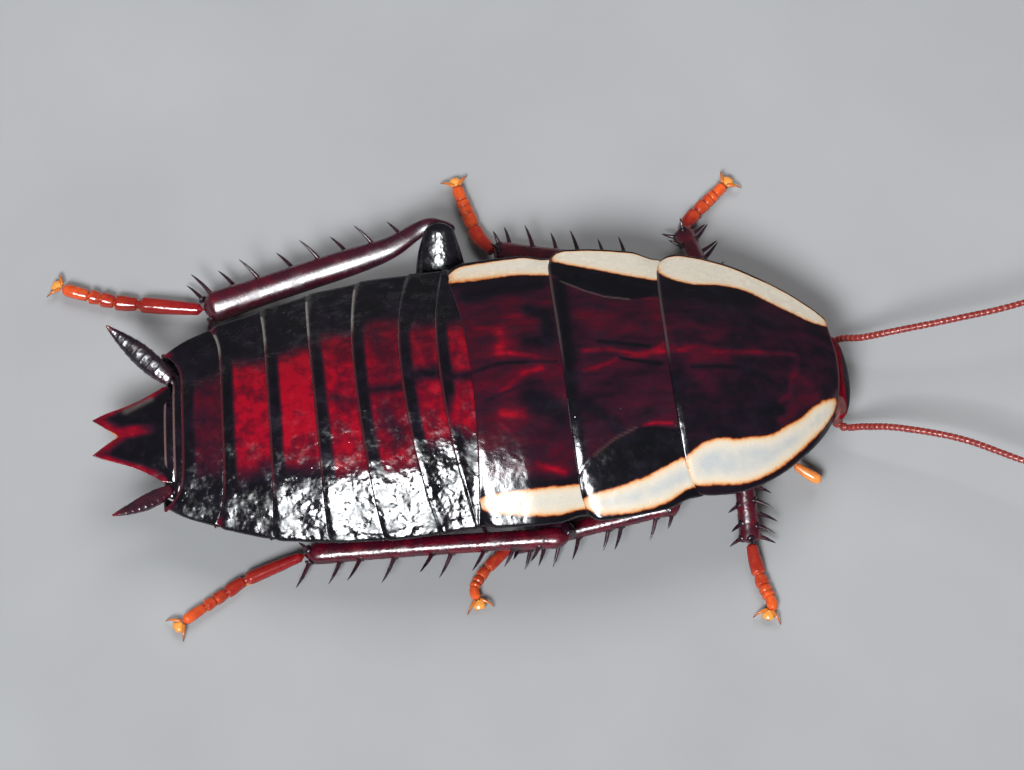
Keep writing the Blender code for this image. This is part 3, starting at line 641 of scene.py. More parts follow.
metanotum_rows = round_corners(
    plate_rows(MESONOTUM_REAR, METANOTUM_REAR, lift=0.12, flare=0.08, bevel=0.14), 0.36, 0.6)
metanotum_rows["flare"] -= 0.18 * smoothstep(2.3, 3.0, metanotum_rows["x"])
metanotum = plate_surface(metanotum_rows)
meta_stripe = np.maximum(
    side_stripe(
        metanotum, ((-0.6, 4.05), (0.2, 3.92), (1.0, 3.88), (2.09, 3.87), (3.22, 3.87)),
        ((-0.6, 0.40), (0.2, 0.30), (1.02, 0.24), (2.0, 0.17), (3.26, 0.13)), (0.02, 3.7), -1),
    side_stripe(
        metanotum, ((-0.4, 3.92), (0.2, 3.88), (0.79, 3.88), (1.83, 3.93), (2.94, 3.80)),
        ((-0.4, 0.14), (0.4, 0.10), (3.2, 0.07)), (0.05, 3.7), 1))

# The left stripe is more orange than the right one, most of all at its rear end.
peach = 0.42 + 0.40 * smoothstep(0.6, 2.6, metanotum["x"])
meta_stripe = np.where((metanotum["y"] > 0) & (meta_stripe > 0), meta_stripe * peach, meta_stripe)
edge_dark = smoothstep(3.3, 3.9, np.abs(metanotum["y"]))
right_rise = 0.24 * soft_ramp(metanotum["x"] - 1.5, 0.6) * smoothstep(-1.0, -2.4, metanotum["y"])
metanotum_plate = add_plate("metanotum_plate", metanotum, thorax_finish, {
    "tint": tinted(metanotum, 0.47 - 0.40 * edge_dark, METANOTUM_STROKES),
    "stripe": meta_stripe,
    # The right stripe gets a weaker grey painted sheen here.
    "stripe_sheen": np.where(metanotum["y"] < 0, 0.25, 0.0),
    "level": flank_level(metanotum) - right_rise,
})
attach(metanotum_plate, "root")
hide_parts("metanotum")

# Plates of the abdomen's back
#
# Seven hard half rings that slide in under one another like roof tiles, each with a raised black rear edge
# and, ahead of it, clear cuticle that lets the red fat body show. The hindmost ones end in backward points at
# the sides.

TERGITE_REARS = (
    (-0.99, 0.60), (-2.24, 0.66), (-3.76, 0.41), (-5.14, 0.07), (-6.65, -0.10), (-8.19, -0.30),
    (-9.51, -0.55),
)
# For each plate: right and left limit of the red, its strength, then darker strokes in it.
TERGITE_REDS = (
    (-2.02, 1.95, 0.84,
        ((((-0.8, -0.16), (0.1, -0.16)), 0.20, 0.22), (((-0.6, -1.6), (-0.4, -1.1)), 0.3, 0.92))),
    (-2.25, 2.10, 0.82,
        ((((-1.9, 0.10), (-0.95, 0.05)), 0.26, 0.16), (((-1.5, 1.7), (-1.4, 0.8)), 0.35, 0.66))),
    (-2.90, 2.45, 0.80, (
        (((-3.35, -0.24), (-2.2, -0.28)), 0.16, 0.22), (((-2.85, -1.0), (-2.45, -1.9)), 0.26, 0.38),
        (((-2.9, 2.1), (-2.6, 0.4)), 0.40, 0.56))),
    (-2.80, 2.30, 0.84,
        ((((-4.4, -0.30), (-3.95, -0.48)), 0.18, 0.52), (((-4.5, 1.9), (-4.0, 1.2)), 0.35, 0.68))),
    (-2.15, 1.78, 1.0, ((((-5.9, -1.7), (-5.6, -1.4)), 0.35, 0.80),)),
    (-2.05, 1.75, 0.90, ()),
    (-1.90, 1.45, 0.50, ((((-8.9, -0.1), (-8.5, -0.3)), 0.35, 0.40),)),
)
BLACK_BAND = 0.36
# How much further back the gloss of each plate faces, as a painted slope.
TERGITE_TILTS = (0.0, 0.0, 0.02, 0.05, 0.07, 0.08, 0.05)

abdomen_finish = plate_finish("abdomen_cuticle", 2.2, 0.36, 0.72, 0.16, 1.0, 0.22)
front = METANOTUM_REAR
for number, (rear, (right, left, strength, strokes)) in enumerate(zip(TERGITE_REARS, TERGITE_REDS), 1):
    in_middle = 3 <= number <= 6
    rows = plate_rows(front, rear)
    if number < 7:
        rows = round_corners(rows, 0.10, 0.22)
    tergite = plate_surface(rows, under=1.0 if number < 6 else 0.30)
    if number > 6:
        tergite["x"] -= 0.02 * np.abs(tergite["share"]) ** 24 * smoothstep(0.5, 0.0, tergite["behind"])
    rear_gap = tergite["behind"]
    ahead = smoothstep(BLACK_BAND - 0.08, BLACK_BAND + 0.10, rear_gap)
    wander = 0.08 * np.sin(tergite["x"] * 3.0 + number)
    sideways = smoothstep(right - 0.55, right + 0.45, tergite["y"] + wander)
    sideways = sideways * smoothstep(left + 0.55, left - 0.50, tergite["y"] - wander)
    tint = tinted(tergite, 0.06 + (strength - 0.06) * ahead * sideways, strokes)
    near_centre = smoothstep(3.0, 2.0, np.abs(tergite["y"] + 0.2))
    on_left = smoothstep(2.0, 2.7, tergite["y"]) * smoothstep(0.15, 0.3, tergite["margin"]) * in_middle
    lip = smoothstep(0.05, 0.0, rear_gap) * (0.35 * near_centre + 0.8 * on_left) * (tergite["margin"] > 0)
    pointed = smoothstep(0.35, 0.0, tergite["margin"]) * smoothstep(0.22, 0.0, rear_gap) * (number > 5)
    pointed = pointed * smoothstep(-0.30, -0.15, tergite["margin"])
    flank = 0.11 * (soft_ramp(-1.5 - tergite["y"], 0.5) - soft_ramp(-2.7 - tergite["y"], 0.4))
    plate = add_plate(f"tergite_{number}", tergite, abdomen_finish, {
        "tint": tint + (0.7 - tint) * pointed,
        "stripe": -1.0,
        "lip": lip,
        "lip_shade": on_left,
        "level": TERGITE_TILTS[number - 1] * tergite["x"] + flank * in_middle,
        "calm": 0.75 * smoothstep(0.6, 1.8, tergite["y"]),
    })
    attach(plate, "root")
    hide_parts("abdomen")
    front = rear

# Tail: two narrow rings, the forked plate, the blunt plate under it and the cerci
#
# The last back plate carries two pointed lobes with thin red margins over the vent. A cercus, a ringed and
# flattened feeler of the rear end, stands out on either side of it in a soft socket.

TAIL_RING_REARS = ((-9.80, 0.17, 2.62), (-10.10, 0.12, 1.95))
FORK_AT, FORK_TIP, FORK_NOTCH = 0.37, -12.46, -11.64
LOBE_SIDE = (
    (FORK_AT, FORK_TIP), (0.49, -12.02), (0.61, -11.42), (0.74, -10.90), (0.89, -10.45), (1.0, -10.15))
TAIL_BASE_X, TAIL_BASE_HALF = -9.86, 1.78
CERCI = {
    "left": ((-9.70, 1.86, 1.90), (-10.75, 2.98, 1.98), (-11.69, 3.85, 2.02)),
    "right": ((-9.98, -1.98, 1.88), (-11.00, -2.46, 1.80), (-12.05, -2.85, 1.62)),
}
SOCKETS = {
    "left": ((-9.00, 2.22, 1.52), (-9.98, 2.34, 1.66)),
    "right": ((-9.35, -1.86, 1.54), (-10.25, -1.84, 1.66)),
}

front = (-9.50, -0.10)
for number, (rear_x, bow, width) in enumerate(TAIL_RING_REARS, 8):
    rows = plate_rows(front, (rear_x, bow), lift=-0.04, flare=0.0, roll=0.025, step=0.03, bevel=0.05)
    ring = plate_surface(rows, width, across=90, under=0.5)
    ring["z"] -= 0.07 * (number - 7) + 0.10 * smoothstep(1.9, 2.6, np.abs(ring["y"]))
    ring["x"] -= (9 - number) * 0.12 * smoothstep(1.75, 2.30, np.abs(ring["y"]))
    line = smoothstep(0.045, 0.015, np.abs(ring["behind"] - 0.01)) * smoothstep(1.9, 1.4, np.abs(ring["y"]))
    plate = add_plate(f"tail_ring_{number}", ring, abdomen_finish, {
        "tint": 0.16,
        "stripe": -1.0,
        "lip": 0.7 * line,
        "lip_shade": 0.5,
    }, 0.04)
    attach(plate, "root")
    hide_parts("abdomen")
    front = (rear_x, bow)

v = np.unique(np.concatenate([np.linspace(-1, 1, 81), [-FORK_AT, 0.0, FORK_AT]]))
t = np.linspace(0.0, 1.0, 61) ** 0.85
inside_fork = FORK_NOTCH + (FORK_TIP - FORK_NOTCH) * np.abs(v) / FORK_AT
outside_fork = smooth_curve(LOBE_SIDE)(np.abs(v))
rear_x = np.where(np.abs(v) < FORK_AT, inside_fork, outside_fork)
grid_t, grid_v = np.meshgrid(t, v, indexing="ij")
tail_x = TAIL_BASE_X + (rear_x[None, :] - TAIL_BASE_X) * grid_t + 0.07 * grid_v * TAIL_BASE_HALF
tail_y = grid_v * TAIL_BASE_HALF * (1 - 0.04 * grid_t)
to_edge = np.minimum(
    (1 - grid_t) * np.abs(rear_x - TAIL_BASE_X)[None, :] * 0.62, (1 - np.abs(grid_v)) * TAIL_BASE_HALF)
lobe = np.exp(-((np.abs(grid_v) - 0.40) / 0.24) ** 2)
tail_z = 1.82 + 0.36 * (1 - (tail_y / TAIL_BASE_HALF) ** 2) * (1 - 0.35 * grid_t) + 0.05 * lobe * grid_t
tail_z -= 0.05 * np.exp(-(grid_v / 0.16) ** 2) * grid_t
notch = smoothstep(0.38, 0.10, np.abs(grid_v)) * smoothstep(0.80, 1.0, grid_t)
tail_finish = plate_finish("tail_cuticle", 3.0, 0.25, 0.30, 0.10, 1.0, 0.20)
supra_anal = add_plate("supra_anal_lobes", {"x": tail_x, "y": tail_y, "z": tail_z}, tail_finish, {
    "tint": np.maximum(
        0.05 + 0.75 * smoothstep(0.46, 0.10, to_edge) * smoothstep(0.20, 0.50, grid_t),
        0.86 * smoothstep(0.20, 0.05, np.abs(grid_v - 0.06)) * smoothstep(0.10, 0.65, grid_t)),
    "stripe": -0.40 + 0.42 * notch,
    # A pale grey painted highlight streak across the left lobe.
    "lip": 0.30 * stroke(tail_x, tail_y, ((-11.3, 0.85), (-10.45, 1.25)), 0.10),
    "lip_shade": 1.0,
}, 0.07)
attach(supra_anal, "root")
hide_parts("supra_anal_plate")

grid_t, grid_v = np.meshgrid(np.linspace(0, 1, 24), np.linspace(1, -1, 33), indexing="ij")
half = 1.30 * np.sqrt(1 - 0.75 * grid_t ** 2)
blunt = {
    "x": -9.75 - 1.55 * grid_t + 0.07 * half * grid_v,
    "y": half * grid_v,
    "z": 1.34 - 0.36 * (1 - grid_v ** 2) ** 0.5 * (1 - 0.35 * grid_t ** 3),
}
subgenital = add_plate("subgenital_shell", blunt, tail_finish, {
    "tint": 0.42 + 0.25 * grid_t,
    "stripe": -1.0,
}, 0.10)
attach(subgenital, "root")
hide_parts("subgenital_plate")


def smooth_path(points, course):
    """Places on a smooth line through given points; the course counts the points from 0 at the first."""
    curves = [smooth_curve([(i, point[axis]) for i, point in enumerate(points)]) for axis in range(3)]
    return np.stack([curve(course) for curve in curves], axis=1)


def tube(path, radii, sides=16, flatten=1.0, upright=(0.0, 0.0, 1.0), square=1.0):
    """Points and faces of a closed tube; flatten is its height as a share of its width, and square below 1
    fills out the corners of its section."""
    path, radii = np.asarray(path, dtype=float), np.broadcast_to(radii, (len(path),))
    ahead = np.gradient(path, axis=0)
    ahead /= np.linalg.norm(ahead, axis=1)[:, None]
    side = np.cross(np.array(upright), ahead)
    side /= np.linalg.norm(side, axis=1)[:, None]
    up = np.cross(ahead, side)
    angles = 2 * math.pi * np.arange(sides) / sides
    wide = np.sign(np.cos(angles)) * np.abs(np.cos(angles)) ** square
    high = np.sign(np.sin(angles)) * np.abs(np.sin(angles)) ** square * flatten
    ring = side[:, None, :] * wide[None, :, None] + up[:, None, :] * high[None, :, None]
    points = (path[:, None, :] + ring * radii[:, None, None]).reshape(-1, 3)
    count = len(path)
    points = np.vstack([points, path[0], path[-1]])
    faces = grid_faces(count, sides, closed=True)
    last_ring, first, last = (count - 1) * sides, count * sides, count * sides + 1
    faces += [(k, first, (k + 1) % sides) for k in range(sides)]
    faces += [(last_ring + k, last_ring + (k + 1) % sides, last) for k in range(sides)]
    return points, faces


def around(values, sides, first=0.0, last=1.0):
    """A value for each ring of a tube, given to all its points, and values for its two end points."""
    return np.append(np.repeat(values, sides), [first, last])


def rounded_ends(radii, shares, start=0.03, end=0.03):
    """Radii that fall to almost nothing at the two ends of a tube, to close it with a dome."""
    opening = np.sqrt(np.clip(1 - (1 - np.clip(shares / start, 0, 1)) ** 2, 0.0004, 1))
    closing = np.sqrt(np.clip(1 - (1 - np.clip((1 - shares) / end, 0, 1)) ** 2, 0.0004, 1))
    return radii * opening * closing


def joined(parts):
    """Several lots of points, faces and painted values as one."""
    points, faces, painted, start = [], [], {}, 0
    for part_points, part_faces, part_painted in parts:
        points.append(part_points)
        faces += [tuple(k + start for k in face) for face in part_faces]
        start += len(part_points)
        for key, values in part_painted.items():
            values = np.broadcast_to(np.asarray(values, float), (len(part_points),))
            painted.setdefault(key, []).append(values)
    return np.vstack(points), faces, {key: np.concatenate(values) for key, values in painted.items()}


def dense(count):
    """Shares from 0 to 1 that crowd towards both ends, where a tube closes."""
    return 0.5 - 0.5 * np.cos(np.linspace(0, math.pi, count))


def along_path(points, count):
    """Places on a smooth line at shares that crowd towards its ends, and those shares."""
    shares = dense(count)
    return smooth_path(points, shares * (len(points) - 1)), shares


def limb_finish(name, cloud_depth, roughness, swell, dent=0.20, ior=1.60):
    """Smooth hard cuticle of a limb, black to red by its tint, with a painted height in millimetres."""
    made, tree, shader = new_material(name, roughness, ior)
    depth = 0.05  # millimetres, for a height of one
    ground = use_group(
        tree, tanned_cuticle, Tint=painted_value(tree, "tint"), Cloud_Scale=2.4, Cloud_Depth=cloud_depth)
    tree.links.new(ground["Color"], shader.inputs["Base Color"])
    relief = use_group(
        tree, uneven_gloss, Swell_Scale=2.5, Swell=swell, Dent_Scale=7.0, Dent=dent, Grain=0.02)
    dullness = calculate(tree, "ADD", calculate(tree, "MULTIPLY", relief["Wear"], 0.12), roughness - 0.06)
    tree.links.new(dullness, shader.inputs["Roughness"])
    level = calculate(tree, "DIVIDE", painted_value(tree, "level"), depth)
    bumped(tree, shader, calculate(tree, "ADD", relief["Height"], level), depth)
    return made


cercus_finish = limb_finish("cercus_cuticle", 0.25, 0.28, 0.5, 0.2, 1.9)
cercus_radius = smooth_curve(
    [(i / 8, radius) for i, radius in enumerate((0.20, 0.30, 0.37, 0.38, 0.36, 0.30, 0.23, 0.14, 0.04))])
for side, points in CERCI.items():
    path, shares = along_path(points, 220)
    path[:, 2] += 0.44 * shares ** 2
    slim, depth = (1.0, 0.06) if side == "left" else (0.76, 0.04)
    ringed = 0.97 + depth * (((shares * 10) % 1.0) ** 1.5 - 0.5)
    radii = rounded_ends(cercus_radius(shares) * ringed * slim, shares, 0.05, 0.02)
    shape, faces = tube(
        path, radii, 24, 0.58, (-0.14, -0.53, 0.82) if side == "left" else (0.0, 0.0, 1.0), 0.8)
    share = around(shares, 24)
    base_tint = 0.22 if side == "left" else 0.40
    cercus = add_piece(f"cercus_{side}_ringed", shape, faces, cercus_finish, {
        "tint": base_tint + 0.5 * smoothstep(0.82, 1.0, share) + 0.12 * smoothstep(0.3, 0.0, share),
    })
    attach(cercus, "root")
    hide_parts("cercus_" + side)

    start, end = SOCKETS[side]
    path, shares = along_path((start, end), 30)
    shape, faces = tube(path, rounded_ends(0.42, shares, 0.3, 0.3), 24, 0.36)
    socket = add_piece(f"cercus_{side}_socket", shape, faces, cercus_finish, {"tint": 0.12})
    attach(socket, "root")
    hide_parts("cercus_" + side)

# Underside: belly plates and the soft skin between the legs
#
# The belly has plates of its own, thinner and browner than the back's, that overlap the same way. Between the
# legs there is only wrinkled, leathery skin, as the thighs' broad bases cover it.

BELLY_HEIGHT = (
    (-10.2, 1.05), (-9.0, 1.02), (-6.0, 0.95), (-1.0, 1.10), (0.5, 1.50), (9.0, 1.60), (12.25, 1.60))
CORE_EDGE = (0.24, 0.60)
HEAD_SHELTER = (9.2, 9.75)
belly_height = smooth_curve(BELLY_HEIGHT)


def under_height(x, v):
    """Height of the underside: a deep middle that carries the legs, and thin flanges at the sides."""
    top = back_height(x, v)
    flange = np.minimum(margin_height(x) - 0.45 * smoothstep(0.0, 0.3, 1.05 - np.abs(v)), top - 0.3)
    solid = flange + (belly_height(x) - flange) * smoothstep(*CORE_EDGE, 1.0 - np.abs(v))
    shelter = smoothstep(*HEAD_SHELTER, x)
    return solid + (top - 0.35 - solid) * shelter * smoothstep(0.0, 0.25, 1.0 - np.abs(v))


def skin_finish():
    """Leathery folded skin, pale brown, with fine wrinkles."""
    made, tree, shader = new_material("joint_skin", 0.45, 1.45)
    place = millimetres(tree, (1.0, 0.25, 1.0))  # the folds run across the body
    wrinkles = noise(tree, 9.0, 4.0, 0.65, place)
    colour = ramp(tree, wrinkles, (
        (0.25, 0.10, 0.030, 0.018), (0.5, 0.24, 0.095, 0.050), (0.75, 0.42, 0.22, 0.12)))
    tree.links.new(colour, shader.inputs["Base Color"])
    bumped(tree, shader, wrinkles, 0.06)
    return made


joint_skin = skin_finish()

grid_x, grid_v = np.meshgrid(np.linspace(9.95, -0.6, 150), np.linspace(0.90, -0.90, 81), indexing="ij")
skin_y = grid_v * half_width(grid_x)
skin_z = under_height(grid_x, grid_v) + 0.10 - 0.05 * smoothstep(9.0, 9.8, grid_x)
skin_z += 0.025 * np.sin(grid_x * 9.0 + 1.5 * np.sin(skin_y * 2.0)) * smoothstep(0.9, 0.5, np.abs(grid_v))
skin = {"x": grid_x + slant(grid_x) * skin_y, "y": skin_y, "z": skin_z}
thorax_skin = add_plate("thorax_skin", skin, joint_skin, {}, 0.06)
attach(thorax_skin, "root")

belly_finish = limb_finish("belly_cuticle", 0.30, 0.22, 0.4)
front_x = -0.20
for number, (rear_x, rear_bow) in enumerate(TERGITE_REARS, 1):
    shares = np.append(np.linspace(-0.25, 1.0, 26), np.full(4, 1.0))
    roll = np.append(np.zeros(26), np.linspace(0.25, 1.0, 4))
    grid_t, grid_v = np.meshgrid(shares, np.linspace(0.87, -0.87, 91), indexing="ij")
    station = front_x + (rear_x - front_x) * grid_t
    y = grid_v * (half_width(station) - 0.05)
    drop = 0.07 * np.clip(grid_t, 0, 1) ** 2 - 0.10 * smoothstep(0.0, -0.2, grid_t)
    z = under_height(station, grid_v) - drop + 0.07 * roll[:, None]
    x = station + 0.25 * rear_bow * np.abs(grid_v) ** 3 + slant(station) * y + 0.02 * roll[:, None]
    sternite = add_plate(f"sternite_{number}", {"x": x, "y": y, "z": z}, belly_finish, {
        "tint": 0.42 + 0.16 * np.exp(-(y / 1.6) ** 2) - 0.20 * smoothstep(0.8, 1.0, grid_t),
    }, 0.06)
    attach(sternite, "root")
    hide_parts("abdomen")
    front_x = rear_x

# Head
#
# A hard capsule carried with its face down and back under the shield: crown, face with the two feeler
# sockets, the face plate and upper lip below, and a pair of toothed jaws at the mouth.

HEAD_TOP, HEAD_CHIN = np.array((12.30, 0.0, 1.85)), np.array((11.10, 0.0, 0.42))
HEAD_STATIONS = (
    (0.0, 0.80, 0.30), (0.10, 1.32, 0.52), (0.30, 1.50, 0.64), (0.55, 1.32, 0.68), (0.80, 0.98, 0.56),
    (1.0, 0.62, 0.34),
)
HEAD_SIDES = 56

down = (HEAD_CHIN - HEAD_TOP) / np.linalg.norm(HEAD_CHIN - HEAD_TOP)
face_out = np.array((-down[2], 0.0, down[0]))
head_wide = smooth_curve([(share, wide) for share, wide, deep in HEAD_STATIONS])
head_deep = smooth_curve([(share, deep) for share, wide, deep in HEAD_STATIONS])


def head_point(share, angle, swell=1.0):
    """A place on the head; angle 0 is the middle of the face, and positive angles turn to the left."""
    middle = HEAD_TOP + (HEAD_CHIN - HEAD_TOP) * share
    aside = np.array((0.0, 1.0, 0.0)) * math.sin(angle) * head_wide(share) * swell
    return middle + aside + face_out * math.cos(angle) * head_deep(share) * swell


shares = dense(70)
capsule = []
for share in shares:
    crown_dome = math.sqrt(max(1 - (1 - min(share / 0.10, 1)) ** 2, 0.0))
    chin_dome = math.sqrt(max(1 - (1 - min((1 - share) / 0.06, 1)) ** 2, 0.0))
    brow = 1 + 0.10 * math.exp(-((share - 0.08) / 0.12) ** 2)
    groove = 0.05 * math.exp(-((share - 0.62) / 0.05) ** 2)
    for k in range(HEAD_SIDES):
        angle = 2 * math.pi * k / HEAD_SIDES
        swell = crown_dome * chin_dome * brow * (1 - groove * max(math.cos(angle), 0))
        capsule.append(head_point(share, angle, max(swell, 0.01)))
chin_ring = (len(shares) - 1) * HEAD_SIDES
faces = grid_faces(len(shares), HEAD_SIDES, closed=True)
faces += [tuple(range(HEAD_SIDES - 1, -1, -1)), tuple(range(chin_ring, chin_ring + HEAD_SIDES))]
share = np.repeat(shares, HEAD_SIDES)
crown = np.array(capsule)
head_finish = limb_finish("head_cuticle", 0.25, 0.34, 0.2, 0.1, 1.14)
skull = add_piece("head_capsule", capsule, faces, head_finish, {
    "tint": 0.06 + 0.75 * smoothstep(12.50, 12.38, crown[:, 0]) * smoothstep(1.2, 1.5, crown[:, 2])
            + 0.35 * smoothstep(0.5, 0.9, share),
})
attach(skull, "root")
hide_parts("head")


def face_plate(name, first, last, spread, proud, tint):
    """A thin plate on the face between two shares of its length."""
    rows, columns = 20, 25
    shares, angles = np.linspace(first, last, rows), np.linspace(spread, -spread, columns)
    points = []
    for k, share in enumerate(shares):
        narrowing = 1 - 0.25 * (k / (rows - 1)) ** 2
        for angle in angles:
            sunk = (2 * abs(angle) / spread - 1) ** 4 * (abs(angle) > spread / 2)
            points.append(head_point(share, angle * narrowing, 1 + proud * (1 - sunk)))
    plate = add_piece(name, points, grid_faces(rows, columns), head_finish, {"tint": tint})
    thicken(plate, 0.07)
    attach(plate, "root")


face_plate("clypeus", 0.63, 0.80, 0.85, 0.07, 0.55)
face_plate("labrum", 0.81, 0.98, 0.75, 0.09, 0.70)

jaws = []
for sign in (-1, 1):
    hinge, tip = head_point(0.86, sign * 1.15, 1.0), head_point(1.04, sign * 0.15, 0.7)
    bend = (hinge + tip) / 2 + np.array((0.02, sign * 0.16, -0.12))
    path, shares = along_path((hinge, bend, tip), 24)
    shape, jaw_faces = tube(
        path, rounded_ends(0.17 * (1 - 0.7 * shares), shares, 0.1, 0.1), 12, 0.7, (1.0, 0.0, 0.3))
    jaws.append((shape, jaw_faces, {"tint": 0.15}))
shape, faces, painted = joined(jaws)
mandibles = add_piece("mandibles", shape, faces, head_finish, painted)
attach(mandibles, "root")

# Eyes
#
# Two kidney-shaped compound eyes set flush in the sides of the head. Each is a dome of hard, clear cuticle that
# is made up of some two thousand six-sided lenses.

EYE_CENTRE, EYE_RADII = (11.92, 1.02, 1.47), (0.45, 0.56, 0.52)
EYE_FORWARD = {"left": -0.24, "right": 0.04}  # how far each one sits ahead of that centre
EYE_ROWS, EYE_SIDES = 36, 48


def eye_finish():
    """A dull red-brown dome with a net of tiny lenses."""
    made, tree, shader = new_material("compound_eye_lenses", 0.40, 1.5)
    lenses = add_node(
        tree, "ShaderNodeTexVoronoi", {"Vector": millimetres(tree), "Scale": 22.0}, feature="F1")
    colour = ramp(tree, noise(tree, 3.0, 3.0), (
        (0.3, 0.08, 0.018, 0.016), (0.55, 0.20, 0.058, 0.050), (0.75, 0.28, 0.10, 0.085)))
    tree.links.new(colour, shader.inputs["Base Color"])
    bumped(tree, shader, calculate(tree, "MULTIPLY", lenses.outputs["Distance"], -1.0), 0.03)
    return made


lens_finish = eye_finish()
for side, sign in (("left", 1), ("right", -1)):
    points = []
    forward = EYE_CENTRE[0] + EYE_FORWARD[side]
    for polar in np.linspace(0.06, math.pi - 0.06, EYE_ROWS):
        for turn in 2 * math.pi * np.arange(EYE_SIDES) / EYE_SIDES:
            dent = 1 - 0.16 * math.exp(-(((turn * sign - math.pi * 0.98) % (2 * math.pi)) / 0.5) ** 2)
            points.append((
                forward + EYE_RADII[0] * math.sin(polar) * math.cos(turn) * dent,
                EYE_CENTRE[1] * sign + EYE_RADII[1] * math.sin(polar) * math.sin(turn) * dent,
                EYE_CENTRE[2] + EYE_RADII[2] * math.cos(polar),
            ))
    last_ring = (EYE_ROWS - 1) * EYE_SIDES
    faces = [(a, d, c, b) for a, b, c, d in grid_faces(EYE_ROWS, EYE_SIDES, closed=True)]
    faces += [tuple(range(EYE_SIDES)), tuple(range(last_ring + EYE_SIDES - 1, last_ring - 1, -1))]
    eye = add_piece(f"eye_{side}_lenses", points, faces, lens_finish)
    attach(eye, "root")
    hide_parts("eye_" + side)

# Neck
#
# A short sleeve of soft folded skin that lets the head swing under the shield.

path, shares = along_path(((11.35, 0, 1.35), (10.5, 0, 1.70), (9.3, 0, 1.95)), 70)
radii = smooth_curve(((0.0, 0.60), (0.5, 0.80), (1.0, 0.95)))(shares) * (1 + 0.06 * np.sin(shares * 38))
shape, faces = tube(path, rounded_ends(radii, shares, 0.05, 0.05), 36, 0.55)
neck = add_piece("neck_sleeve", shape, faces, joint_skin)
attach(neck, "root")
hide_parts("neck")

# Feelers
#
# A thick first and a short second segment, then a whip of about a hundred bead-like rings. The whip is
# red-brown, each ring a little paler and rougher at its joint.

FEELERS = {
    "left": (
        (11.95, 0.80, 0.80), (12.38, 1.70, 0.80), (13.25, 1.58, 1.15), (14.38, 1.51, 1.60),
        (16.39, 1.64, 1.85), (18.54, 1.91, 2.00), (22.00, 2.75, 2.10), (26.00, 4.10, 2.00),
        (29.50, 5.60, 1.70), (32.30, 7.10, 1.35),
    ),
    "right": (
        (11.95, -0.80, 0.80), (12.25, -1.42, 0.80), (13.00, -1.67, 1.15), (14.09, -1.99, 1.50),
        (16.03, -2.70, 1.75), (18.07, -3.81, 1.90), (21.30, -5.45, 2.00), (24.80, -6.90, 1.90),
        (28.20, -8.10, 1.60), (31.40, -9.00, 1.30),
    ),
}
BEADS = 105
SCAPE_LENGTH, PEDICEL_LENGTH = 0.62, 0.26


def even_path(points, spacing):
    """Places on a smooth line at about equal distances, and how far along it each one lies."""
    fine = smooth_path(points, np.linspace(0, len(points) - 1, 2001))
    length = np.append(0.0, np.cumsum(np.linalg.norm(np.diff(fine, axis=0), axis=1)))
    stops = np.linspace(0.0, length[-1], int(length[-1] / spacing) + 2)
    return np.stack([np.interp(stops, length, fine[:, axis]) for axis in range(3)], axis=1), stops


def feeler_finish():
    """Red-brown rings, paler at the joints, with a fine velvet of hairs."""
    made, tree, shader = new_material("feeler_rings", 0.24, 1.6)
    colour = ramp(tree, painted_value(tree, "ring"), (
        (0.0, 0.52, 0.20, 0.12), (0.35, 0.34, 0.055, 0.035), (1.0, 0.22, 0.022, 0.020)))
    shade = calculate(tree, "MULTIPLY", noise(tree, 2.0, 3.0), 0.5)
    colour = blend(tree, shade, colour, (0.10, 0.010, 0.012, 1.0))
    tree.links.new(colour, shader.inputs["Base Color"])
    relief = use_group(tree, uneven_gloss, Swell_Scale=4.0, Swell=0.2, Dent_Scale=14.0, Dent=0.3, Grain=0.2)
    bumped(tree, shader, relief["Height"], 0.02)
    return made


ring_finish = feeler_finish()
for side, points in FEELERS.items():
    path, distance = even_path(points, 0.028)
    whip_start = SCAPE_LENGTH + PEDICEL_LENGTH
    total = distance[-1]
    course = np.clip((distance - whip_start) / (total - whip_start), 0, 1)
    bead = (course ** 0.93 * BEADS) % 1.0
    swell = 1 - 0.20 * np.abs(2 * bead - 1) ** 5
    whip = (0.118 - 0.045 * course) * swell
    base = 0.17 - 0.03 * np.cos(distance / SCAPE_LENGTH * math.pi * 1.6)
    second = 0.130 + 0.012 * np.sin((distance - SCAPE_LENGTH) / PEDICEL_LENGTH * math.pi)
    pinch = 1 - 0.35 * np.exp(-((distance - SCAPE_LENGTH) / 0.05) ** 2)
    pinch = pinch - 0.25 * np.exp(-((distance - whip_start) / 0.04) ** 2)
    radii = np.where(distance < SCAPE_LENGTH, base, np.where(distance < whip_start, second, whip)) * pinch
    radii *= np.sqrt(np.clip((total - distance) / 0.15, 0.0004, 1))
    shape, faces = tube(path, radii, 14)
    ring = np.where(distance < whip_start, 0.8, 1 - np.abs(2 * bead - 1) ** 3)
    feeler = add_piece(f"feeler_{side}", shape, faces, ring_finish, {"ring": around(ring, 14, 0.5, 0.5)})
    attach(feeler, "root")
    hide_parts(f"antenna_{side}_base", f"antenna_{side}_middle", f"antenna_{side}_tip")

# Palps
#
# Jointed tasters of the mouth, clear orange with a velvety last segment: the long outer pair reaches out
# beside the head and the short inner pair hangs below the lip.

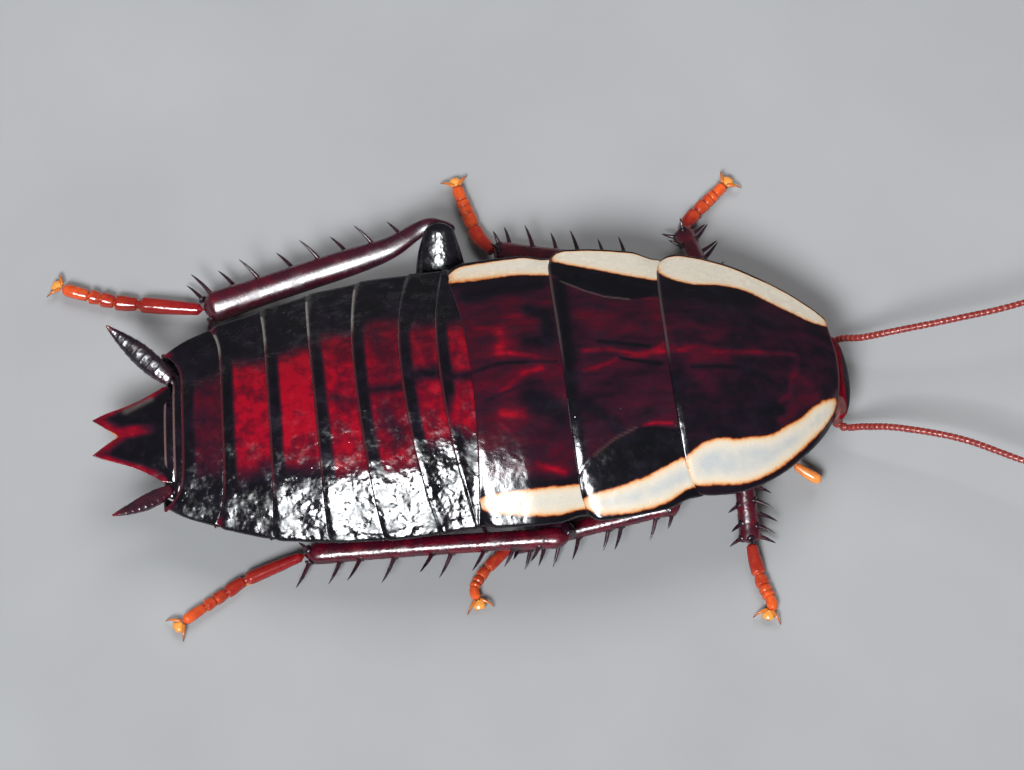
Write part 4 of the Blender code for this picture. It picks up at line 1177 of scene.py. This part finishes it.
PALPS = {
    "left": ((10.95, 0.70, 0.62), (11.35, 1.45, 0.46), (11.30, 2.05, 0.46), (10.88, 2.42, 0.38)),
    "right": ((11.00, -0.75, 0.72), (10.45, -1.95, 0.85), (10.55, -2.60, 0.72), (11.36, -3.20, 0.45)),
}
LIP_PALP = ((10.95, 0.30, 0.50), (10.85, 0.55, 0.33), (10.98, 0.72, 0.26))
PALP_JOINTS = (0.0, 0.12, 0.24, 0.48, 0.66, 1.0)
PALP_RADII = ((0.0, 0.13), (0.4, 0.14), (0.7, 0.16), (0.9, 0.18), (1.0, 0.14))


def amber_finish(name, low, high):
    """Thin clear cuticle, graded along the limb by the painted share."""
    made, tree, shader = new_material(name, 0.17, 1.6)
    clouds = noise(tree, 4.0, 3.0)
    wander = calculate(tree, "MULTIPLY", calculate(tree, "SUBTRACT", clouds, 0.5), 0.6)
    share = calculate(tree, "ADD", painted_value(tree, "share"), wander)
    middle = tuple(0.80 * a + 0.20 * b for a, b in zip(low, high))
    colour = ramp(tree, share, ((0.0, *low), (0.60, *middle), (1.0, *high)))
    tree.links.new(colour, shader.inputs["Base Color"])
    shader.inputs["Subsurface Weight"].default_value = 0.15
    shader.inputs["Subsurface Scale"].default_value = 0.2 * MM
    relief = use_group(tree, uneven_gloss, Swell_Scale=4.0, Swell=0.3, Dent_Scale=9.0, Dent=0.20, Grain=0.05)
    bumped(tree, shader, relief["Height"], 0.02)
    return made


def jointed(points, joints, radii, sides=18, flatten=1.0, paint=(0.0, 1.0)):
    """A limb of club-shaped segments that meet at pinched joints, given as shares of its length."""
    path, distance = even_path(points, 0.02)
    share = distance / distance[-1]
    profile = smooth_curve(radii)(share)
    for start, end in zip(joints, joints[1:]):
        inside = np.clip((share - start) / (end - start), 0, 1)
        within = (share >= start) & (share <= end)
        club = (0.80 + 0.22 * np.sin(np.clip(inside * 1.15, 0, 1) * math.pi / 2 * 1.1)) * np.sqrt(
            np.clip(np.minimum(inside, 1 - inside) * 12, 0.30, 1))
        profile = np.where(within, profile * club, profile)
    profile *= np.sqrt(np.clip(np.minimum(share, 1 - share) * 25, 0.01, 1))
    shape, faces = tube(path, profile, sides, flatten)
    return shape, faces, {"share": around(share, sides) * (paint[1] - paint[0]) + paint[0]}


palp_amber = amber_finish("palp_amber", (0.55, 0.12, 0.025), (0.86, 0.28, 0.06))
for side, points in PALPS.items():
    sign = 1 if side == "left" else -1
    long_palp = jointed(points, PALP_JOINTS, PALP_RADII)
    short_palp = jointed(
        [(x, y * sign, z) for x, y, z in LIP_PALP], (0.0, 0.3, 0.6, 1.0), ((0.0, 0.09), (1.0, 0.08)))
    shape, faces, painted = joined([long_palp, short_palp])
    palp = add_piece(f"palps_{side}", shape, faces, palp_amber, painted)
    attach(palp, "root")
    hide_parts("palp_" + side)

# Legs
#
# Six running legs. A broad flat coxa lies against the body, then come the small trochanter, the femur with
# its spined edge, and the long tibia. Tanned cuticle, black near the body and red-brown further out.

FRONT_SPINES = (
    (0.25, -5, 0.7), (0.45, 20, 0.75), (0.62, -5, 0.8), (0.80, 22, 0.7), (0.95, 0, 0.6), (0.5, 165, 0.45),
    (0.75, 150, 0.5), (0.95, 165, 0.5), (0.97, 90, 0.4),
)
# Root and tip of the left coxa of each pair, as in the solids; the right one is its mirror image.
COXAE = {
    "front": ((9.1, 1.9, 1.02), (7.0, 1.6, 0.72)),
    "mid": ((5.7, 2.0, 1.00), (3.5, 1.7, 0.70)),
    "hind": ((2.4, 2.1, 0.98), (0.6, 1.7, 0.70)),
}
# Knee, ankle and foot, close to those of the solids, then half widths of femur, tibia and foot, how black the
# leg is, and the tibia's long spines, each as its share of the length, its angle above level in degrees and
# its length. The stretched hind leg also has the way the top of its tibia faces, the backward bow of its
# femur, how far its tibia bows out below the knee and reaches past it, and where the end of the femur lies
# over it.
LEGS = {
    "front_left": dict(
        knee=(8.35, 3.75, 1.55), ankle=(7.77, 6.28, 0.52),
        foot=((7.90, 6.70, 0.26), (8.30, 7.15, 0.22), (9.05, 7.80, 0.25), (9.35, 8.08, 0.22)),
        width=(0.55, 0.37, 0.25), black=0.3,
        spines=FRONT_SPINES,
    ),
    "front_right": dict(
        knee=(8.75, -2.95, 1.55), ankle=(8.79, -5.14, 0.52),
        foot=((8.90, -5.85, 0.26), (9.04, -6.55, 0.22), (9.26, -7.28, 0.25), (9.17, -7.52, 0.22)),
        width=(0.55, 0.37, 0.25), black=0.2,
        spines=FRONT_SPINES,
    ),
    "mid_left": dict(
        knee=(6.35, 4.55, 1.65), ankle=(1.46, 6.15, 0.55),
        foot=((0.96, 6.95, 0.27), (0.73, 7.70, 0.23), (0.50, 8.52, 0.26), (0.42, 8.89, 0.22)),
        width=(0.62, 0.41, 0.27), black=0.2,
        spines=(
            (0.15, 10, 0.85), (0.30, -5, 0.8), (0.46, 22, 0.85), (0.61, -5, 0.85), (0.76, 22, 0.85),
            (0.92, 0, 0.8), (0.35, 168, 0.5), (0.60, 160, 0.5), (0.90, 168, 0.5), (0.97, 90, 0.45),
            (0.98, 40, 0.5)),
    ),
    "mid_right": dict(
        knee=(6.40, -4.00, 1.40), ankle=(0.95, -4.50, 0.46),
        foot=((0.15, -5.08, 0.27), (-0.22, -5.48, 0.23), (-0.42, -5.85, 0.26), (-0.34, -6.22, 0.22)),
        width=(0.62, 0.34, 0.215), black=0.1,
        spines=(
            (0.03, -12, 0.55), (0.13, -18, 0.8), (0.34, -10, 0.85), (0.42, -18, 0.75), (0.60, -8, 0.85),
            (0.72, -18, 0.9), (0.81, -8, 0.75), (0.90, -16, 0.7), (0.96, 120, 0.4), (0.97, 20, 0.4)),
    ),
    "hind_left": dict(
        knee=(-0.15, 6.44, 1.95), ankle=(-8.35, 5.03, 0.52),
        foot=((-10.66, 5.58, 0.28), (-11.44, 5.78, 0.24), (-12.70, 6.25, 0.27), (-13.05, 6.45, 0.22)),
        width=(0.92, 0.52, 0.28), black=1.0, facing=(-0.17, -0.52, 0.84), sway=-0.45,
        crook=0.42, reach=0.30, over=(-0.22, 0.145, 0.41),
        spines=(
            (0.17, 10, 0.85), (0.29, 28, 0.95), (0.40, 0, 0.9), (0.51, 28, 1.0), (0.62, 0, 0.95),
            (0.76, 28, 1.0), (0.86, 0, 0.95), (0.96, 20, 1.0), (1.0, -10, 0.9), (0.30, -80, 0.5),
            (0.50, -90, 0.55), (0.70, -80, 0.55), (0.90, -90, 0.6), (0.99, 175, 0.7)),
    ),
    "hind_right": dict(
        knee=(2.65, -5.03, 1.95), ankle=(-5.80, -4.20, 0.58),
        foot=((-7.75, -4.75, 0.28), (-8.50, -5.15, 0.24), (-9.75, -5.90, 0.27), (-10.05, -6.10, 0.22)),
        width=(0.80, 0.37, 0.235), black=0.1,
        spines=(
            (0.10, 0, 0.6), (0.20, -10, 0.7), (0.31, 5, 0.9), (0.44, -12, 0.95), (0.51, 12, 0.9),
            (0.66, -12, 1.0), (0.79, 5, 0.95), (0.87, -8, 0.9), (0.99, -5, 1.0), (0.30, 168, 0.5),
            (0.60, 168, 0.5), (0.90, 165, 0.5), (0.99, 100, 0.5)),
    ),
}

# Radii along each sub-part as (share of its length, radius in millimetres), or, where the name says parts, as
# parts of the limb's half width.
COXA_RADII = ((0.0, 0.45), (0.18, 0.80), (0.5, 0.85), (0.85, 0.55), (1.0, 0.34))
TROCHANTER_RADII = ((0.0, 0.24), (0.5, 0.33), (1.0, 0.26))
FEMUR_PARTS = ((0.0, 0.50), (0.15, 0.85), (0.35, 1.0))
FEMUR_TAPER = ((0.65, 0.92), (0.9, 0.74), (1.0, 0.58))
FEMUR_TAPER_OVER = ((0.65, 0.95), (0.80, 0.81), (0.90, 0.64), (1.0, 0.44))
KNEE_LOBE_RADII = ((0.0, 0.10), (0.5, 0.24), (1.0, 0.18))
TIBIA_PARTS = ((0.0, 0.62), (0.05, 0.98), (0.12, 0.88), (0.4, 0.90), (0.8, 0.94), (0.96, 1.0), (1.0, 0.72))
TIBIA_PARTS_CROOKED = (
    (0.0, 0.42), (0.05, 0.46), (0.12, 0.50), (0.235, 0.68), (0.32, 0.80), (0.45, 0.90), (0.8, 0.94),
    (0.96, 1.0), (1.0, 0.72),
)
FOOT_PARTS = ((0.0, 0.85), (0.4, 0.95), (0.8, 0.85), (1.0, 0.72))
FOOT_JOINTS = (0.0, 0.46, 0.62, 0.72, 0.80, 1.0)
PAD_RADII = ((0.0, 0.08), (0.6, 0.13), (1.0, 0.10))
CLAW_PAD_RADII = ((0.0, 0.10), (0.55, 0.21), (1.0, 0.15))
CROOK_AT, CROOK_RISE, CROOK_FALL = 0.105, 0.065, 0.11  # shares of the tibia
LEVEL_UP = (0.0, 0.0, 1.0)
THIGH_UP = (-0.17, -0.52, 0.84)

leg_finish = limb_finish("leg_cuticle", 0.30, 0.30, 0.10, 0.03, 1.75)
thigh_finish = limb_finish("thigh_cuticle", 0.30, 0.26, 0.9, 0.15, 1.75)
shin_finish = limb_finish("shin_cuticle", 0.30, 0.28, 0.45, 0.12, 1.75)
foot_amber = amber_finish("foot_amber", (0.20, 0.003, 0.009), (0.68, 0.100, 0.020))
pad_finish = amber_finish("pad_amber", (0.62, 0.20, 0.05), (0.80, 0.36, 0.07))
claw_finish = amber_finish("claw_horn", (0.55, 0.16, 0.03), (0.16, 0.02, 0.012))


def unit(vector):
    """The vector at a length of one."""
    vector = np.asarray(vector, dtype=float)
    return vector / np.linalg.norm(vector)


def scaled(parts, radius):
    """Radii along a limb from parts of its half width."""
    return [(share, radius * part) for share, part in parts]


def segment(
        start, end, profile, count=60, sides=28, flatten=1.0, bulge=(0.0, 0.0, 0.0), tint=(0.3, 0.3),
        upright=LEVEL_UP, square=1.0, crook=0.0):
    """A closed limb segment between two places, with its radii along it, bowed in the middle or near the
    start."""
    start, end = np.asarray(start, float), np.asarray(end, float)
    shares = dense(count)
    path = start + (end - start) * shares[:, None] + np.array(bulge) * np.sin(shares * math.pi)[:, None]
    crook_reach = np.where(shares < CROOK_AT, CROOK_RISE, CROOK_FALL)
    path[:, 1] += crook * np.exp(-((shares - CROOK_AT) / crook_reach) ** 2)
    radii = rounded_ends(smooth_curve(profile)(shares), shares, 0.05, 0.05)
    shape, faces = tube(path, radii, sides, flatten, upright, square)
    return shape, faces, {"tint": tint[0] + (tint[1] - tint[0]) * around(shares, sides)}


def curved_spine(root, direction, length, radius, droop):
    """A spine that stands out of its socket and droops towards its tip, with the ring of its socket."""
    root, direction, droop = np.asarray(root, float), unit(direction), np.asarray(droop, float)
    shares = np.linspace(0, 1, 12)
    path = root + direction * length * shares[:, None] + droop * length * 0.14 * (shares ** 2)[:, None]
    path[:, 2] = np.maximum(path[:, 2], 0.10)
    radii = radius * (1 - shares) ** 0.75 * (1 - 0.12 * np.cos(shares * 3)) + 0.006
    upright = unit(np.cross(direction, droop + (0.01, 0.02, 0.03)))
    shape, faces = tube(path, radii, 10, 1.0, upright)
    collar_path = root + direction * np.linspace(-0.05, 0.07, 6)[:, None]
    collar, collar_faces = tube(
        collar_path, radius * np.array((1.0, 1.7, 1.8, 1.6, 1.3, 0.5)), 12, 1.0, upright)
    return [
        (shape, faces, {"tint": 0.22 + 0.25 * around(1 - shares, 10, 1.0, 0.0)}),
        (collar, collar_faces, {"tint": 0.20}),
    ]


for name, facts in LEGS.items():
    pair, side_name = name.split("_")
    mirror = (1, 1 if side_name == "left" else -1, 1)
    hip, coxa_tip = (np.array(place) * mirror for place in COXAE[pair])
    knee, ankle = np.array(facts["knee"]), np.array(facts["ankle"])
    femur_radius, shin_radius, foot_radius = facts["width"]
    thigh, shin = unit(knee - coxa_tip), unit(ankle - knee)
    dark = 0.05 + 0.30 * (1 - facts["black"])

    shape, faces, painted = segment(
        hip + unit(hip - coxa_tip) * 0.45, coxa_tip, COXA_RADII, flatten=0.42, tint=(0.35, 0.45))
    coxa_piece = add_piece(f"coxa_{name}_shell", shape, faces, leg_finish, painted)
    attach(coxa_piece, "root")
    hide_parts("coxa_" + name)

    over = facts.get("over")
    femur_end = knee - thigh * shin_radius * 0.55 if over is None else knee + np.array(over)
    femur_parts = FEMUR_PARTS + (FEMUR_TAPER if over is None else FEMUR_TAPER_OVER)
    keel = unit(np.cross(thigh, LEVEL_UP))
    parts = [
        segment(
            coxa_tip - thigh * 0.22, coxa_tip + thigh * 0.55, TROCHANTER_RADII, 24, 24, 0.8, tint=(0.45, 0.40)),
        segment(
            coxa_tip + thigh * 0.30, femur_end, scaled(femur_parts, femur_radius), 70, 32, 0.66,
            (facts.get("sway", 0.0), 0.0, -0.45 if "sway" in facts else -0.35), (dark + 0.1, dark), THIGH_UP),
    ]
    for side in (-1, 1) if over is None else ():
        lobe = knee + keel * side * shin_radius * 0.62
        parts.append(segment(
            lobe - thigh * 0.55, lobe + thigh * 0.10, KNEE_LOBE_RADII, 20, 16, 1.25, tint=(dark, dark)))
    for k in range(4):
        root = coxa_tip + (knee - coxa_tip) * (0.45 + 0.13 * k) + keel * (femur_radius * 0.55 * (-1) ** k)
        root[2] -= femur_radius * 0.40
        parts += curved_spine(root, (0.0, 0.0, -1.0) + thigh * 0.5, 0.30, 0.045, thigh)
    shape, faces, painted = joined(parts)
    painted["level"] = 0.20 * np.abs(shape[:, 1])
    femur_piece = add_piece(f"femur_{name}_shell", shape, faces, thigh_finish, painted)
    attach(femur_piece, "root")
    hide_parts("femur_" + name)

    length = np.linalg.norm(ankle - knee)
    tibia_parts = TIBIA_PARTS_CROOKED if "crook" in facts else TIBIA_PARTS
    shape, faces, painted = segment(
        knee - shin * facts.get("reach", 0.18), ankle + shin * 0.05, scaled(tibia_parts, shin_radius),
        110, 40, 0.85, (0.0, 0.0, 0.05 * length / 8), (dark + 0.34, 0.58), facts.get("facing", LEVEL_UP),
        0.80 if "facing" in facts else 1.0, facts.get("crook", 0.0))
    if "crook" in facts:
        painted["level"] = 0.09 * soft_ramp(shape[:, 0] + 4.6, 0.8) + 0.13 * soft_ramp(shape[:, 0] + 2.7, 0.6)
    tibia_piece = add_piece(
        f"tibia_{name}_shell", shape, faces, shin_finish if side_name == "right" else leg_finish, painted)
    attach(tibia_piece, "root")
    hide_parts("tibia_" + name)

    # Spines stand in rows along the tibia, each a hollow thorn that pivots in its socket.
    outward = unit((-shin[1], shin[0], 0.0))
    outward *= math.copysign(1.0, outward @ (0.3, math.copysign(1.0, knee[1]), 0.0))
    upward = np.cross(shin, outward)
    upward *= math.copysign(1.0, upward[2])
    tibia_part = smooth_curve(tibia_parts)
    parts = []
    for share, lean, reach in facts["spines"]:
        lean = math.radians(lean)
        sideways = outward * math.cos(lean) + upward * math.sin(lean)
        root = knee + shin * length * share + sideways * shin_radius * 0.85 * tibia_part(min(share, 0.97))
        parts += curved_spine(root, sideways + shin * 0.38, reach * 0.9, 0.085, shin)
    shape, faces, painted = joined(parts)
    spine_piece = add_piece(f"tibia_{name}_spines", shape, faces, leg_finish, painted)
    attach(spine_piece, "root")

    # The foot has five segments, four of them with a pale pad beneath, and ends in two claws and a pad.
    foot = [np.array(point) for point in facts["foot"]]
    points = [ankle + unit(foot[0] - ankle) * 0.05] + foot
    path, distance = even_path(points, 0.05)
    shape, faces, painted = jointed(
        points, FOOT_JOINTS, scaled(FOOT_PARTS, foot_radius), 20, 0.92,
        (0.05, 0.92) if pair == "hind" else (0.42, 1.0))
    tarsus_piece = add_piece(f"tarsus_{name}_segments", shape, faces, foot_amber, painted)
    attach(tarsus_piece, "root")
    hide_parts("tarsus_" + name)

    toe = unit(foot[3] - foot[2])
    aside = unit((-toe[1], toe[0], 0.0))
    pads = []
    for stop in FOOT_JOINTS[1:5]:
        at = np.stack([np.interp(stop * distance[-1], distance, path[:, axis]) for axis in range(3)])
        run = unit(np.append((foot[1] - foot[0])[:2] if stop > 0.5 else (foot[0] - ankle)[:2], 0.0))
        low = np.array((at[0], at[1], max(at[2] - foot_radius * 0.75, 0.07)))
        pad, pad_faces, _ = segment(low - run * 0.26, low + run * 0.06, PAD_RADII, 14, 12, 0.5)
        pads.append((pad, pad_faces, {"share": 0.2}))
    claw_pad, claw_pad_faces, _ = segment(
        foot[3] + toe * 0.02 + (0, 0, 0.02), foot[3] + toe * 0.34 - (0, 0, 0.02),
        CLAW_PAD_RADII, 20, 20, 0.55)
    pads.append((claw_pad, claw_pad_faces, {"share": 0.8}))
    shape, faces, painted = joined(pads)
    pad_piece = add_piece(f"pads_{name}", shape, faces, pad_finish, painted)
    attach(pad_piece, "root")

    claws = []
    for side in (-1, 1):
        root = foot[3] + aside * side * 0.07 + toe * 0.02 + (0, 0, 0.06)
        bend = root + toe * 0.20 + aside * side * 0.24 + (0, 0, 0.02)
        tip = root + toe * 0.34 + aside * side * 0.40 - (0, 0, 0.16)
        tip[2] = max(tip[2], 0.03)
        claw_path, claw_shares = along_path((root, bend, tip), 20)
        claw, claw_faces = tube(
            claw_path, rounded_ends(0.075 * (1 - 0.85 * claw_shares), claw_shares, 0.1, 0.03), 12)
        claws.append((claw, claw_faces, {"share": around(claw_shares, 12)}))
    shape, faces, painted = joined(claws)
    claw_piece = add_piece(f"claws_{name}", shape, faces, claw_finish, painted)
    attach(claw_piece, "root")

# Stand, lights and camera
#
# A plain pale table. The gloss mirrors one soft light, high on the animal's right. A larger one on its left
# only lifts the shade, and an even pale surround does the rest.


def table_finish():
    """Pale matt board, faintly mottled."""
    made, tree, shader = new_material("pale_table", 0.85, 1.4)
    colour = ramp(tree, noise(tree, 0.12, 3.0), ((0.3, 0.305, 0.305, 0.315), (0.7, 0.335, 0.335, 0.34)))
    tree.links.new(colour, shader.inputs["Base Color"])
    return made


TABLE_HALF = 600.0
TABLE_CORNERS = ((-1, -1), (1, -1), (1, 1), (-1, 1))
corners = [(FOOTPRINT_MIDDLE_X + i * TABLE_HALF, j * TABLE_HALF, 0.0) for i, j in TABLE_CORNERS]
table = add_piece("table", corners, [(0, 1, 2, 3)], table_finish())


def area_light(name, target, direction, distance, size, power, spread=180.0):
    """A square soft light at a distance in metres from a target in millimetres, facing it."""
    data = bpy.data.lights.new(name, "AREA")
    data.size, data.energy, data.spread = size, power, math.radians(spread)
    light = bpy.data.objects.new(name, data)
    toward = Vector(direction).normalized()
    light.location = Vector(target) * MM + toward * distance
    light.rotation_mode = "QUATERNION"
    light.rotation_quaternion = toward.to_track_quat("Z", "Y")
    light.visible_camera = False
    bpy.context.scene.collection.objects.link(light)
    return light


# The middle of the view, and the directions from it to the camera and to the two lights.
CAMERA_TARGET = (-8.035, 0.593, 2.0)
TO_CAMERA, TO_KEY, TO_FILL = (-0.0415, -0.4206, 0.9063), (-0.235, -0.640, 0.731), (0.20, 0.62, 0.76)
CAMERA_DISTANCE, LIGHT_DISTANCE = 0.3, 0.5  # metres

key_light = area_light("key_softbox", CAMERA_TARGET, TO_KEY, LIGHT_DISTANCE, 0.17, 0.27, 44.0)
key_light.data.color = (0.95, 0.98, 1.0)
fill_light = area_light("left_fill", CAMERA_TARGET, TO_FILL, LIGHT_DISTANCE, 0.30, 1.5)
fill_light.visible_glossy = False

world = bpy.data.worlds.new("studio")
bpy.context.scene.world = world
world.use_nodes = True
background = world.node_tree.nodes["Background"]
background.inputs["Color"].default_value = (0.95, 0.97, 1.0, 1.0)
background.inputs["Strength"].default_value = 0.10
bpy.context.scene.view_settings.view_transform = "Standard"

camera_data = bpy.data.cameras.new("camera")
camera_data.sensor_width = 36.0
camera_data.lens = 319.6
camera_data.clip_start, camera_data.clip_end = 0.01, 10.0
camera = bpy.data.objects.new("camera", camera_data)
back = Vector(TO_CAMERA).normalized()
camera.location = Vector(CAMERA_TARGET) * MM + back * CAMERA_DISTANCE
camera.rotation_mode = "QUATERNION"
camera.rotation_quaternion = back.to_track_quat("Z", "Y")
bpy.context.scene.collection.objects.link(camera)
bpy.context.scene.camera = camera
